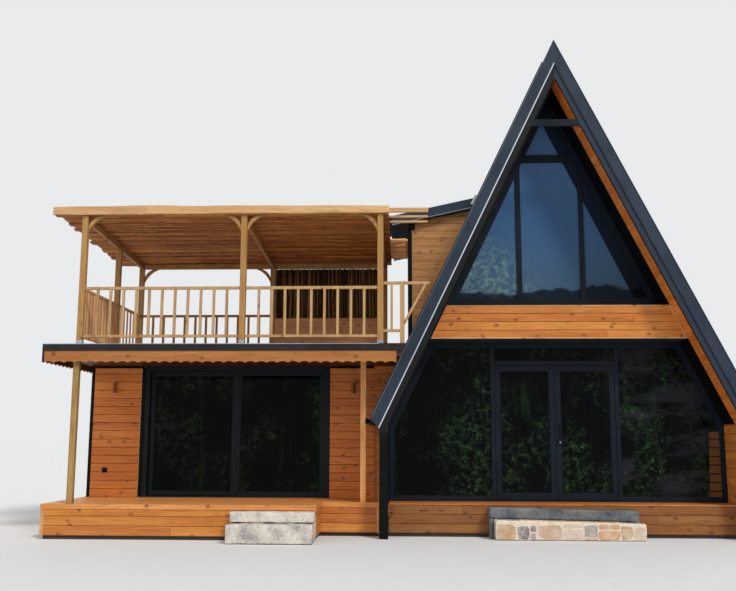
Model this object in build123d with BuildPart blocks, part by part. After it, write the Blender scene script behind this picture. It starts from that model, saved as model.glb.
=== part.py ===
from build123d import *
import os
from math import hypot

os.makedirs("parts", exist_ok=True)

# A-frame cabin with a ground-floor wing, a roof terrace over it and a pergola on the terrace.
# Millimetres. X runs across the front, Y runs from the front to the back, Z is up from the ground.
# The origin is on the ground, in the middle of the A-frame's foundation.

# A-frame
cabin_length = 8400
ridge_height = 7800
wall_half = 2788
wall_thick = 135
eave_height = 1800
eave_over = 116
eave_face = 60
roof_thick = 248
soffit_thick = 18
rake_face = 180
rake_total = 272
rake_thick = 40
rake_set_back = 14
rake_lip = 10
rake_board_end = 1560
post_depth = 40
cap_leg = 170
cap_sheet = 3
clear = 0.5

# Floors and plinth
foundation_top = 330
floor_top = 500
board = 25
plinth_low = 54
plinth_back = 430
nosing = 15

# Glazed front
glazing_back = 911
frame_depth = 80
pane = 24
spandrel_low = 3031
spandrel_top = 3562
loft_floor_thick = 169
frame_side = 84
frame_slope = 128
frame_foot = 90
frame_head = 101
door_post_out = 1020
door_post = 60
transom_low = 2650
transom_high = 76
upper_foot = 183
upper_slope = 128
upper_transom_down = 1756
upper_transom = 130
upper_post_x = 514
upper_post = 80
tie_down = 1440
tie_high = 113

# French doors
door_gap = 5
sill_high = 25
leaf_thick = 60
leaf_side = 90
leaf_top = 92
leaf_foot = 110
hinge_radius = 9
pin_radius = 4
pin_play = 0.3
hinge_high = 40
hinge_heights = (760, 1560, 2360)
handle_height = 1460

# Rear gable
rear_wall_thick = 120
rear_window_half = 900
rear_window_low = 1350
rear_window_high = 1100
loft_window_half = 450
loft_window_low = 4000
loft_window_high = 1000
window_bar = 70

# Gutter at the eaves
gutter_wide = 96
gutter_high = 96
gutter_sheet = 5

# Wing
wing_left = 7750
wing_front = 1550
wing_back = 5200
wing_wall = 150
deck_front = -330
deck_notch = 3705
slider_inset = 920
slider_right = 3660
slider_frame_wide = 90
slider_depth = 120
slider_meeting = 150
slider_leaf_thick = 40
slider_leaf_side = 80
slider_track_gap = 10
roller_play = 0.3
wing_window_wide = 1200
wing_window_low = 1400
wing_window_high = 900
trim_wide = 55
trim_proud = 12

# Terrace
terrace_low = 2700
terrace_top = 2865
terrace_over = 120
fascia_low = 2590
fascia_top = 2770
scallop = 160
scallop_rise = 24
edge_sheet = 12
edge_flange = 70
edge_lift = 16
porch_post = 90
porch_post_inset = 370
porch_post_gap = 50
porch_post_left_back = -215
porch_post_right_back = 520

# Pergola and railings
post = 90
post_front = -210
post_middle = 1490
post_back = 2910
post_inset = 390
post_centre = 4870
post_gap = 376
roof_under_front = 4890
roof_under_back = 4730
reed_thick = 110
reed_over = 110
reed_past_post = 135
reed_front = -265
reed_back = 3050
edge_board = 35
edge_board_high = 150
infill_past_post = 735
infill_lift = 5
infill_board_high = 80
infill_thick = 34
infill_wide = 48
infill_pitch = 280
reed_side_front = 1310
reed_side_back = 2600
reed_side_gap = 35
rafter_wide = 60
rafter_high = 90
brace_reach = 280
brace_wide = 60
brace_thick = 50
rail_top = 3768
rail_high = 44
rail_foot_low = 2985
rail_foot_high = 40
rail_wide = 40
baluster = 38
baluster_pitch = 200
fence_board = 120
fence_pitch = 134
corner_post = 70
corner_post_gap = 81
corner_rail_rise = 67
corner_foot_low = 3063
screen_thick = 40
screen_low = 3700
low_wall_thick = 60

# Dormer at the side of the roof
dormer_set_in = 78
dormer_front = 1600
dormer_back = 4400
dormer_wall_thick = 120
dormer_slope = 0.218
dormer_under = 5177
dormer_roof_thick = 170
dormer_over = 150
dormer_side_over = 310
dormer_window_wide = 900
dormer_window_low = 3400
dormer_window_high = 1500

# Steps
step_left = 4930
step_wide = 1240
step_upper_high = 430
step_lower_high = 275
step_tread = 265
cabin_step_half = 1110
cabin_step_shift = 25
cabin_step_upper_high = 460
cabin_step_lower_high = 300
cabin_step_tread = 250

# Wall lamps
lamp_tube = 60
lamp_collar = 68
lamp_collar_high = 12
lamp_arm = 24
lamp_plate = 8
lamp_plate_high = 90
lamp_high = 190
lamp_deep = 106
lamp_low = 2230
lamp_inset = 420
lamp_gap = 366

front = -cabin_length / 2
back = cabin_length / 2
eave_x = wall_half + eave_over
slope = eave_x / (ridge_height - eave_height)


def at(depth):
    """Place on Y of a depth measured inwards from the front rake."""
    return front + depth


def drop(thickness):
    """Height that a layer of this thickness takes on a vertical line through the roof."""
    return thickness * hypot(1, slope) / slope


def half_width(apex, z):
    """Half width, at height z, of the roof plane that would meet its twin at the apex."""
    return slope * (apex - z)


def height(apex, x):
    """Height, at half width x, of the roof plane that would meet its twin at the apex."""
    return apex - x / slope


def pergola_under(depth):
    """Underside of the pergola's roof at a depth behind the front rake."""
    fall = (roof_under_front - roof_under_back) / (post_back - post_front)
    return roof_under_front - fall * (depth - post_front)


def dormer_under_at(x):
    """Underside of the dormer's roof at a place x, which is negative on this side."""
    return dormer_under + dormer_slope * (x + dormer_left)


def block(x, y, z, mode=Mode.ADD):
    """Add a box between two limits on each axis."""
    centre = ((x[0] + x[1]) / 2, (y[0] + y[1]) / 2, (z[0] + z[1]) / 2)
    with Locations(centre):
        Box(abs(x[1] - x[0]), abs(y[1] - y[0]), abs(z[1] - z[0]), mode=mode)


def prism(points, y, mode=Mode.ADD):
    """Add an outline drawn on the front, as x and z, and carried from one y to another."""
    with BuildSketch(Plane(origin=(0, y[0], 0), x_dir=(1, 0, 0), z_dir=(0, -1, 0))) as outline:
        Polygon(*points, align=None)
    extrude(outline.sketch, amount=y[1] - y[0], dir=(0, 1, 0), mode=mode)


def side_prism(points, x, mode=Mode.ADD):
    """Add an outline drawn on the side, as y and z, and carried from one x to another."""
    with BuildSketch(Plane.YZ.offset(x[0])) as outline:
        Polygon(*points, align=None)
    extrude(outline.sketch, amount=x[1] - x[0], dir=(1, 0, 0), mode=mode)


def mirrored(points):
    """The same outline on the other side of the middle."""
    return [(-x, z) for x, z in points]


def cylinder_z(x, y, radius, z, mode=Mode.ADD):
    """Add an upright cylinder between two heights."""
    with Locations((x, y, (z[0] + z[1]) / 2)):
        Cylinder(radius, z[1] - z[0], mode=mode)


# Planes of the roof, each named by the height where it would meet its twin
metal_apex = ridge_height - drop(rake_face)
rake_apex = ridge_height - drop(rake_total)
under_apex = ridge_height - drop(roof_thick)
soffit_apex = under_apex - drop(soffit_thick)
tie_low = ridge_height - tie_down
upper_transom_low = ridge_height - upper_transom_down
wall_in = wall_half - wall_thick
rafter_top = [(0, ridge_height), (eave_x, eave_height), (eave_x, eave_height - eave_face)]

# Places measured from the wing's end, from the A-frame's eave and from its roof at the terrace
slider_left = wing_left - slider_inset
porch_post_left = wing_left - porch_post_inset
lamp_left = wing_left - lamp_inset
post_left = wing_left - post_inset
reed_left = wing_left + reed_over
porch_post_right = eave_x + gutter_wide + porch_post_gap
lamp_right = eave_x + lamp_gap
roof_at_terrace = half_width(ridge_height, terrace_top)
post_right = roof_at_terrace + post_gap
corner_post_x = roof_at_terrace + corner_post_gap
reed_right = post_right - reed_past_post
infill_right = post_right - infill_past_post
dormer_left = roof_at_terrace - dormer_set_in

# Ground: one raft under the A-frame and one under the wing and its deck
with BuildPart() as foundation:
    block(
        (-wall_half + board, wall_half - board),
        (at(plinth_back + board), back - plinth_back - board),
        (0, foundation_top),
    )
    block(
        (-wing_left + board, -deck_notch - board),
        (at(deck_front + board), at(wing_back - board)),
        (0, foundation_top),
    )
    block(
        (-deck_notch - board, -wall_half),
        (at(plinth_back + board), at(wing_back - board)),
        (0, foundation_top),
    )

with BuildPart() as cabin_floor:
    block(
        (-wall_in, wall_in),
        (at(plinth_back + board), back - plinth_back - board),
        (foundation_top, floor_top - board),
    )
    block(
        (-wall_in, wall_in),
        (at(plinth_back - nosing), back - plinth_back + nosing),
        (floor_top - board, floor_top),
    )

with BuildPart() as deck:
    block(
        (-wing_left + board, -deck_notch - board),
        (at(deck_front + board), at(wing_back - board)),
        (foundation_top, floor_top - board),
    )
    block(
        (-deck_notch - board, -wall_half),
        (at(plinth_back + board), at(wing_back - board)),
        (foundation_top, floor_top - board),
    )
    block(
        (-wing_left - nosing, -deck_notch + nosing),
        (at(deck_front - nosing), at(wing_front)),
        (floor_top - board, floor_top),
    )
    block(
        (-deck_notch + nosing, -wall_half),
        (at(plinth_back - nosing), at(wing_front)),
        (floor_top - board, floor_top),
    )
    block(
        (-wing_left, -wall_half),
        (at(wing_front), at(wing_back)),
        (floor_top - board, floor_top),
    )

# Boards that hide the edges of the rafts, with a dark gap below them
clad_z = (plinth_low, floor_top - board)
with BuildPart() as plinth_cladding:
    block((-wall_in, wall_in), (at(plinth_back), at(plinth_back + board)), clad_z)
    block((-wall_in, wall_in), (back - plinth_back - board, back - plinth_back), clad_z)
    block((-wing_left, -deck_notch), (at(deck_front), at(deck_front + board)), clad_z)
    block(
        (-wing_left, -wing_left + board),
        (at(deck_front + board + clear), at(wing_back - board - clear)),
        clad_z,
    )
    block((-wing_left, -wall_half), (at(wing_back - board), at(wing_back)), clad_z)
    block(
        (-deck_notch - board, -deck_notch),
        (at(deck_front + board + clear), at(plinth_back + board)),
        clad_z,
    )
    block((-deck_notch + clear, -wall_half), (at(plinth_back), at(plinth_back + board)), clad_z)

# Side walls: they stand on the raft, and their outer boards run down past its edge
wall_outline = [
    (wall_in, foundation_top),
    (wall_half - board, foundation_top),
    (wall_half - board, plinth_low),
    (wall_half, plinth_low),
    (wall_half, height(under_apex, wall_half)),
    (wall_in, height(under_apex, wall_in)),
]
with BuildPart() as side_wall_right:
    prism(wall_outline, (at(post_depth), back - post_depth))

with BuildPart() as side_wall_left:
    prism(mirrored(wall_outline), (at(post_depth), back - post_depth))

# Dark posts at the four corners of the A-frame, and dark strips at the wing's and dormer's corners
with BuildPart() as corner_posts:
    for side in (-1, 1):
        post_x = (side * wall_in, side * wall_half)
        block(post_x, (front, at(post_depth)), (0, rake_board_end))
        block(post_x, (back - post_depth, back), (0, rake_board_end))
    block(
        (-wing_left, -wing_left + trim_wide),
        (at(wing_front - trim_proud), at(wing_front)),
        (floor_top, terrace_low),
    )
    block(
        (-dormer_left, -dormer_left + trim_wide),
        (at(dormer_front - trim_proud), at(dormer_front)),
        (height(ridge_height, dormer_left - trim_wide) + clear, dormer_under),
    )

# Roof panels: they pass over the side walls and end in an upright eave face
roof_outline = rafter_top + [
    (wall_half, height(metal_apex, wall_half)),
    (wall_half, height(under_apex, wall_half)),
    (0, under_apex),
]
with BuildPart() as roof_right:
    prism(roof_outline, (at(rake_thick), back - rake_thick))

passage_low = height(ridge_height, dormer_left - dormer_wall_thick)
passage_top = dormer_under_at(-half_width(ridge_height, dormer_under))
with BuildPart() as roof_left:
    prism(mirrored(roof_outline), (at(rake_thick), back - rake_thick))
    block(
        (-dormer_left, -half_width(under_apex, passage_top) + roof_thick),
        (at(dormer_front + dormer_wall_thick), at(dormer_back - dormer_wall_thick)),
        (passage_low, passage_top),
        mode=Mode.SUBTRACT,
    )

# Rakes: a metal face with a thin lip on each edge, and a dark board set back below it
face_outline = rafter_top + [(wall_half, height(metal_apex, wall_half)), (0, metal_apex)]
board_outline = [
    (0, metal_apex),
    (wall_half, height(metal_apex, wall_half)),
    (wall_half, rake_board_end),
    (wall_in, rake_board_end),
    (wall_in, height(rake_apex, wall_in)),
    (0, rake_apex),
]
lip_low = [
    (0, metal_apex),
    (wall_half, height(metal_apex, wall_half)),
    (wall_half, height(metal_apex, wall_half) + drop(rake_lip)),
    (0, metal_apex + drop(rake_lip)),
]
lip_high = [
    (0, ridge_height),
    (eave_x, eave_height),
    (eave_x - rake_lip, height(ridge_height - drop(rake_lip), eave_x - rake_lip)),
    (0, ridge_height - drop(rake_lip)),
]
with BuildPart() as rake_right:
    for outer, step_in in ((front, 1), (back, -1)):
        inner = outer + step_in * rake_thick
        prism(face_outline, sorted((outer, inner)))
        prism(board_outline, sorted((outer + step_in * rake_set_back, inner)))
        prism(lip_low, sorted((outer - step_in * rake_lip, outer)))
        prism(lip_high, sorted((outer - step_in * rake_lip, outer)))

with BuildPart() as rake_left:
    add(mirror(rake_right.part, about=Plane.YZ, mode=Mode.PRIVATE))

# Boarded soffit of both overhangs
soffit_outline = [
    (0, under_apex),
    (wall_in, height(under_apex, wall_in)),
    (wall_in, height(soffit_apex, wall_in)),
    (0, soffit_apex),
]
with BuildPart() as soffit:
    for points in (soffit_outline, mirrored(soffit_outline)):
        prism(points, (at(rake_thick), at(glazing_back)))
        prism(points, (back - glazing_back, back - rake_thick))

# Sheet cap on the ridge
cap_x = cap_leg * slope / hypot(1, slope)
cap_apex = ridge_height + drop(cap_sheet)
with BuildPart() as ridge_cap:
    prism(
        [
            (0, cap_apex),
            (cap_x, height(cap_apex, cap_x)),
            (cap_x, height(ridge_height, cap_x)),
            (0, ridge_height),
            (-cap_x, height(ridge_height, cap_x)),
            (-cap_x, height(cap_apex, cap_x)),
        ],
        (front, back),
    )

# Tie between the rakes near the top
tie_outline = [
    (-half_width(rake_apex, tie_low), tie_low),
    (half_width(rake_apex, tie_low), tie_low),
    (half_width(rake_apex, tie_low + tie_high), tie_low + tie_high),
    (-half_width(rake_apex, tie_low + tie_high), tie_low + tie_high),
]
with BuildPart() as collar_tie:
    prism(tie_outline, (at(rake_set_back), at(rake_thick)))
    prism(tie_outline, (back - rake_thick, back - rake_set_back))


# Storey floor, and the boarded band that hides its edge at the front
def band(apex, low, top):
    """Outline of a band across the A-frame between two heights."""
    return [
        (-half_width(apex, low), low),
        (half_width(apex, low), low),
        (half_width(apex, top), top),
        (-half_width(apex, top), top),
    ]


frame_back = glazing_back + frame_depth
rear_in = back - glazing_back - rear_wall_thick
with BuildPart() as spandrel:
    prism(band(soffit_apex, spandrel_low, spandrel_top), (at(plinth_back), at(glazing_back)))
    prism(band(under_apex, spandrel_low, spandrel_top), (at(glazing_back), at(frame_back)))

with BuildPart() as loft_floor:
    prism(
        band(under_apex, spandrel_low, spandrel_low + loft_floor_thick),
        (at(frame_back), rear_in),
    )

# Upper window: sloping sides, a foot, a transom and two posts
frame_y = (at(glazing_back), at(frame_back))
pane_y = (
    at(glazing_back + (frame_depth - pane) / 2),
    at(glazing_back + (frame_depth + pane) / 2),
)
upper_apex = under_apex - drop(upper_slope)
upper_foot_top = spandrel_top + upper_foot
upper_transom_top = upper_transom_low + upper_transom
post_in = upper_post_x - upper_post / 2
post_out = upper_post_x + upper_post / 2
upper_panes = [
    band(upper_apex, upper_transom_top, upper_apex)[:3],
    [
        (-post_in, upper_foot_top),
        (post_in, upper_foot_top),
        (post_in, min(upper_transom_low, height(upper_apex, post_in))),
        (half_width(upper_apex, upper_transom_low), upper_transom_low),
        (-half_width(upper_apex, upper_transom_low), upper_transom_low),
        (-post_in, min(upper_transom_low, height(upper_apex, post_in))),
    ],
    [
        (post_out, upper_foot_top),
        (half_width(upper_apex, upper_foot_top), upper_foot_top),
        (post_out, height(upper_apex, post_out)),
    ],
    [
        (-post_out, upper_foot_top),
        (-half_width(upper_apex, upper_foot_top), upper_foot_top),
        (-post_out, height(upper_apex, post_out)),
    ],
]
with BuildPart() as upper_window_frame:
    prism(band(under_apex, spandrel_top, under_apex)[:3], frame_y)
    for points in upper_panes:
        prism(points, frame_y, mode=Mode.SUBTRACT)

# Lower window: a light with a knee on each side of the doorway
light_apex = soffit_apex - drop(frame_slope - soffit_thick)
light_out = wall_in - frame_side
light_top = spandrel_low - frame_head
light_pane = [
    (door_post_out, floor_top + frame_foot),
    (light_out, floor_top + frame_foot),
    (light_out, height(light_apex, light_out)),
    (half_width(light_apex, light_top), light_top),
    (door_post_out, light_top),
]
light_outline = [
    (door_post_out - door_post, floor_top),
    (wall_in - clear, floor_top),
    (wall_in - clear, height(under_apex, wall_in)),
    (half_width(under_apex, spandrel_low) - clear, spandrel_low),
    (door_post_out - door_post, spandrel_low),
]
hinge_x = door_post_out - door_post - door_gap / 2
hinge_y = at(frame_back) + hinge_radius + 1
knuckle = hinge_high / 2
with BuildPart() as front_frame_right:
    prism(light_outline, frame_y)
    prism(light_pane, frame_y, mode=Mode.SUBTRACT)
    for hinge_z in hinge_heights:
        lower = (hinge_z - knuckle, hinge_z)
        cylinder_z(hinge_x, hinge_y, hinge_radius, lower)
        block((hinge_x, hinge_x + 2 * hinge_radius), (at(frame_back), hinge_y), lower)
        cylinder_z(hinge_x, hinge_y, pin_radius, (hinge_z, hinge_z + knuckle))

with BuildPart() as front_frame_left:
    add(mirror(front_frame_right.part, about=Plane.YZ, mode=Mode.PRIVATE))

doorway = door_post_out - door_post
with BuildPart() as door_head:
    block((-doorway, doorway), frame_y, (transom_low, transom_low + transom_high))
    block((-doorway, doorway), frame_y, (light_top, spandrel_low))
    block((-doorway, doorway), frame_y, (floor_top, floor_top + sill_high))

# Door leaves: they hang on the posts of the doorway and open into the room
leaf_z = (floor_top + sill_high + door_gap, transom_low - door_gap)
leaf_x = (door_gap / 2, doorway - door_gap)
leaf_y = (at(glazing_back + door_gap), at(glazing_back + door_gap + leaf_thick))
leaf_pane_x = (leaf_x[0] + leaf_side, leaf_x[1] - leaf_side)
leaf_pane_z = (leaf_z[0] + leaf_foot, leaf_z[1] - leaf_top)
leaf_pane_y = (leaf_y[0] + (leaf_thick - pane) / 2, leaf_y[0] + (leaf_thick + pane) / 2)
with BuildPart() as door_leaf_right:
    block(leaf_x, leaf_y, leaf_z)
    block(leaf_pane_x, leaf_y, leaf_pane_z, mode=Mode.SUBTRACT)
    for hinge_z in hinge_heights:
        upper = (hinge_z + pin_play, hinge_z + knuckle)
        cylinder_z(hinge_x, hinge_y, hinge_radius, upper)
        block((hinge_x - 2 * hinge_radius, hinge_x), (leaf_y[1], hinge_y), upper)
        cylinder_z(hinge_x, hinge_y, pin_radius + pin_play, upper, mode=Mode.SUBTRACT)

with BuildPart() as door_leaf_left:
    add(mirror(door_leaf_right.part, about=Plane.YZ, mode=Mode.PRIVATE))

with BuildPart() as door_glass_right:
    block(leaf_pane_x, leaf_pane_y, leaf_pane_z)

with BuildPart() as door_glass_left:
    add(mirror(door_glass_right.part, about=Plane.YZ, mode=Mode.PRIVATE))

# Lever handles on both faces of the right leaf
handle_x = leaf_x[0] + leaf_side / 2
with BuildPart() as door_handle:
    for face, outwards in ((leaf_y[0], -1), (leaf_y[1], 1)):
        block(
            (handle_x - 16, handle_x + 16),
            sorted((face, face + outwards * 8)),
            (handle_height - 110, handle_height + 50),
        )
        block(
            (handle_x - 9, handle_x + 9),
            sorted((face, face + outwards * 50)),
            (handle_height - 9, handle_height + 9),
        )
        block(
            (handle_x - 9, handle_x + 120),
            sorted((face + outwards * 38, face + outwards * 54)),
            (handle_height - 9, handle_height + 9),
        )

# Rear gable: the same storeys, with a window in each
rear_y = (rear_in, rear_in + rear_wall_thick)
rear_windows = [
    (
        (-rear_window_half, rear_window_half),
        (rear_window_low, rear_window_low + rear_window_high),
    ),
    (
        (-loft_window_half, loft_window_half),
        (loft_window_low, loft_window_low + loft_window_high),
    ),
]
with BuildPart() as rear_wall:
    prism(
        [
            (-wall_in, floor_top),
            (wall_in, floor_top),
            (wall_in, height(under_apex, wall_in)),
            (0, under_apex),
            (-wall_in, height(under_apex, wall_in)),
        ],
        rear_y,
    )
    for window_x, window_z in rear_windows:
        block(window_x, rear_y, window_z, mode=Mode.SUBTRACT)

# Wing walls: the front one is split by the sliding door
wing_y = (at(wing_front), at(wing_front + wing_wall))
roof_edge = [
    (-wall_half - clear, floor_top),
    (-wall_half - clear, height(metal_apex, wall_half) - clear),
    (-eave_x - clear, eave_height - eave_face - clear),
    (-eave_x - clear, eave_height),
    (-half_width(ridge_height, terrace_low) - clear, terrace_low),
]
with BuildPart() as wing_front_wall:
    block((-wing_left, -slider_left), wing_y, (floor_top, terrace_low))
    prism([(-slider_right, terrace_low), (-slider_right, floor_top)] + roof_edge, wing_y)

end_y = (at(wing_front + wing_wall), at(wing_back - wing_wall))
end_middle = (end_y[0] + end_y[1]) / 2
wing_window_z = (wing_window_low, wing_window_low + wing_window_high)
end_window_y = (end_middle - wing_window_wide / 2, end_middle + wing_window_wide / 2)
with BuildPart() as wing_end_wall:
    block((-wing_left, -wing_left + wing_wall), end_y, (floor_top, terrace_low))
    block((-wing_left, -wing_left + wing_wall), end_window_y, wing_window_z, mode=Mode.SUBTRACT)

rear_middle = -(wing_left + wall_half) / 2
wing_rear_y = (at(wing_back - wing_wall), at(wing_back))
wing_window_x = (rear_middle - wing_window_wide / 2, rear_middle + wing_window_wide / 2)
with BuildPart() as wing_rear_wall:
    prism([(-wing_left, terrace_low), (-wing_left, floor_top)] + roof_edge, wing_rear_y)
    block(wing_window_x, wing_rear_y, wing_window_z, mode=Mode.SUBTRACT)

# Dormer: two end walls cut to the roof, a side wall towards the terrace and a single-pitch roof
meet_x = -(ridge_height - dormer_under - dormer_slope * dormer_left) / (1 / slope - dormer_slope)
dormer_outline = [
    (-dormer_left, height(ridge_height, dormer_left) + clear),
    (-dormer_left, dormer_under),
    (meet_x, dormer_under_at(meet_x)),
]
with BuildPart() as dormer_end_walls:
    prism(dormer_outline, (at(dormer_front), at(dormer_front + dormer_wall_thick)))
    prism(dormer_outline, (at(dormer_back - dormer_wall_thick), at(dormer_back)))

side_in = -dormer_left + dormer_wall_thick
dormer_middle = at((dormer_front + dormer_back) / 2)
dormer_window_y = (dormer_middle - dormer_window_wide / 2, dormer_middle + dormer_window_wide / 2)
dormer_window_z = (dormer_window_low, dormer_window_low + dormer_window_high)
with BuildPart() as dormer_side_wall:
    prism(
        [
            (-dormer_left, height(ridge_height, dormer_left) + clear),
            (-dormer_left, dormer_under),
            (side_in, dormer_under_at(side_in)),
            (side_in, height(ridge_height, -side_in) + clear),
        ],
        (at(dormer_front + dormer_wall_thick), at(dormer_back - dormer_wall_thick)),
    )
    block((-dormer_left, side_in), dormer_window_y, dormer_window_z, mode=Mode.SUBTRACT)

eave_left = -dormer_left - dormer_side_over
roof_rise = dormer_roof_thick
top_meet_x = -(ridge_height - dormer_under - roof_rise - dormer_slope * dormer_left) / (
    1 / slope - dormer_slope
)
with BuildPart() as dormer_roof:
    prism(
        [
            (eave_left, dormer_under_at(eave_left)),
            (meet_x - clear, dormer_under_at(meet_x - clear)),
            (top_meet_x - clear, dormer_under_at(top_meet_x - clear) + roof_rise),
            (eave_left, dormer_under_at(eave_left) + roof_rise),
        ],
        (at(dormer_front - dormer_over), at(dormer_back + dormer_over)),
    )


# Plain windows of the hidden sides: a bar frame and one pane in each opening
def bar_frame(x, y, z, along):
    """Add a frame of bars that fills an opening, hollow along one axis."""
    block(x, y, z)
    inner = (window_bar, -window_bar)
    hollow_z = (z[0] + inner[0], z[1] + inner[1])
    if along == "y":
        block((x[0] + inner[0], x[1] + inner[1]), y, hollow_z, mode=Mode.SUBTRACT)
    else:
        block(x, (y[0] + inner[0], y[1] + inner[1]), hollow_z, mode=Mode.SUBTRACT)


def middle(limits, size):
    """Limits of something of this size, centred between two other limits."""
    centre = (limits[0] + limits[1]) / 2
    return (centre - size / 2, centre + size / 2)


def inside(limits, margin):
    """Limits drawn in by a margin at both ends."""
    return (limits[0] + margin, limits[1] - margin)


end_wall_x = (-wing_left, -wing_left + wing_wall)
dormer_wall_x = (-dormer_left, side_in)
with BuildPart() as window_frames:
    for window_x, window_z in rear_windows:
        bar_frame(window_x, middle(rear_y, frame_depth), window_z, "y")
    bar_frame(wing_window_x, middle(wing_rear_y, frame_depth), wing_window_z, "y")
    bar_frame(middle(end_wall_x, frame_depth), end_window_y, wing_window_z, "x")
    bar_frame(middle(dormer_wall_x, frame_depth), dormer_window_y, dormer_window_z, "x")

with BuildPart() as window_glass:
    for window_x, window_z in rear_windows:
        block(
            inside(window_x, window_bar),
            middle(rear_y, pane),
            inside(window_z, window_bar),
        )
    block(
        inside(wing_window_x, window_bar),
        middle(wing_rear_y, pane),
        inside(wing_window_z, window_bar),
    )
    block(
        middle(end_wall_x, pane),
        inside(end_window_y, window_bar),
        inside(wing_window_z, window_bar),
    )
    block(
        middle(dormer_wall_x, pane),
        inside(dormer_window_y, window_bar),
        inside(dormer_window_z, window_bar),
    )

# Sliding door of the wing: the right leaf is fixed, and the left leaf runs behind it
slider_z = (floor_top, terrace_low)
slider_y = (at(wing_front), at(wing_front + slider_depth))
slider_in_z = (floor_top + sill_high, terrace_low - slider_frame_wide)
slider_in_x = (-slider_left + slider_frame_wide, -slider_right - slider_frame_wide)
meeting_x = middle(slider_in_x, slider_meeting)
fixed_y = (at(wing_front + slider_track_gap), at(wing_front + slider_track_gap + slider_leaf_thick))
moving_y = (fixed_y[1] + slider_track_gap, fixed_y[1] + slider_track_gap + slider_leaf_thick)
fixed_pane_x = (meeting_x[1], slider_in_x[1] - slider_leaf_side)
fixed_pane_z = inside(slider_in_z, slider_leaf_side)
with BuildPart() as slider_frame:
    block((-slider_left, -slider_right), slider_y, slider_z)
    block(slider_in_x, slider_y, slider_in_z, mode=Mode.SUBTRACT)
    block((meeting_x[0], slider_in_x[1]), fixed_y, slider_in_z)
    block(fixed_pane_x, fixed_y, fixed_pane_z, mode=Mode.SUBTRACT)

moving_x = (slider_in_x[0] + door_gap, meeting_x[1])
moving_z = (slider_in_z[0] + door_gap, slider_in_z[1] - door_gap)
moving_pane_x = (moving_x[0] + slider_leaf_side, meeting_x[0])
moving_pane_z = inside(moving_z, slider_leaf_side)
roller_wide = 90
with BuildPart() as slider_leaf:
    block(moving_x, moving_y, moving_z)
    block(moving_pane_x, moving_y, moving_pane_z, mode=Mode.SUBTRACT)
    for roller_x in (moving_x[0] + roller_wide, moving_x[1] - roller_wide):
        block(
            (roller_x - roller_wide / 2, roller_x + roller_wide / 2),
            inside(moving_y, slider_leaf_thick / 4),
            (slider_in_z[0] + roller_play, moving_z[0]),
        )

with BuildPart() as slider_glass:
    block(moving_pane_x, middle(moving_y, pane), moving_pane_z)

# Fixed glass of both fronts
with BuildPart() as fixed_glass:
    prism(light_pane, pane_y)
    prism(mirrored(light_pane), pane_y)
    block((-doorway, doorway), pane_y, (transom_low + transom_high, light_top))
    for points in upper_panes:
        prism(points, pane_y)
    block(fixed_pane_x, middle(fixed_y, pane), fixed_pane_z)

# Gutters at the A-frame's eaves, broken where the wing meets the roof
gutter_top = eave_height - 8
gutter_outline = [
    (eave_x, gutter_top),
    (eave_x, gutter_top - gutter_high),
    (eave_x + gutter_wide, gutter_top - gutter_high),
    (eave_x + gutter_wide, gutter_top),
    (eave_x + gutter_wide - gutter_sheet, gutter_top),
    (eave_x + gutter_wide - gutter_sheet, gutter_top - gutter_high + gutter_sheet),
    (eave_x + gutter_sheet, gutter_top - gutter_high + gutter_sheet),
    (eave_x + gutter_sheet, gutter_top),
]
with BuildPart() as eave_gutters:
    prism(gutter_outline, (front, back))
    prism(mirrored(gutter_outline), (front, at(wing_front) - clear))
    prism(mirrored(gutter_outline), (at(wing_back) + clear, back))

# Terrace over the wing, cut to the slope of the A-frame's roof
terrace_left = wing_left + terrace_over
terrace_y = (at(deck_front + board), at(wing_back + terrace_over - board))


def against_roof(left, low, top):
    """Outline of a slab that runs from the left to the outer face of the roof."""
    return [
        (-left, low),
        (-half_width(ridge_height, low) - clear, low),
        (-half_width(ridge_height, top) - clear, top),
        (-left, top),
    ]


with BuildPart() as terrace_slab:
    prism(against_roof(terrace_left - board, terrace_low, terrace_top), terrace_y)

# Fascia boards with a scalloped lower edge
def scalloped(start, end, top, low):
    """Outline, in its own plane, of a board whose lower edge is a row of arches."""
    count = max(1, round((end - start) / scallop))
    step = (end - start) / count
    with BuildLine() as edge:
        for index in range(count):
            left = start + index * step
            ThreePointArc(
                (left, low),
                (left + step / 2, low + scallop_rise),
                (left + step, low),
            )
        Polyline((end, low), (end, top), (start, top), (start, low))
    return edge.line


front_run = (-terrace_left, -half_width(ridge_height, fascia_low) - clear)
side_run = (at(deck_front), at(wing_back + terrace_over))
with BuildPart() as terrace_fascia:
    with BuildSketch(Plane(origin=(0, at(deck_front), 0), x_dir=(1, 0, 0), z_dir=(0, -1, 0))):
        make_face(scalloped(*front_run, fascia_top, fascia_low))
    extrude(amount=board, dir=(0, 1, 0))
    with BuildSketch(Plane.YZ.offset(-terrace_left)):
        make_face(scalloped(*side_run, fascia_top, fascia_low))
    extrude(amount=board, dir=(1, 0, 0))
    with BuildSketch(
        Plane(origin=(0, side_run[1] - board, 0), x_dir=(1, 0, 0), z_dir=(0, -1, 0))
    ):
        make_face(scalloped(*front_run, fascia_top, fascia_low))
    extrude(amount=board, dir=(0, 1, 0))

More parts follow.
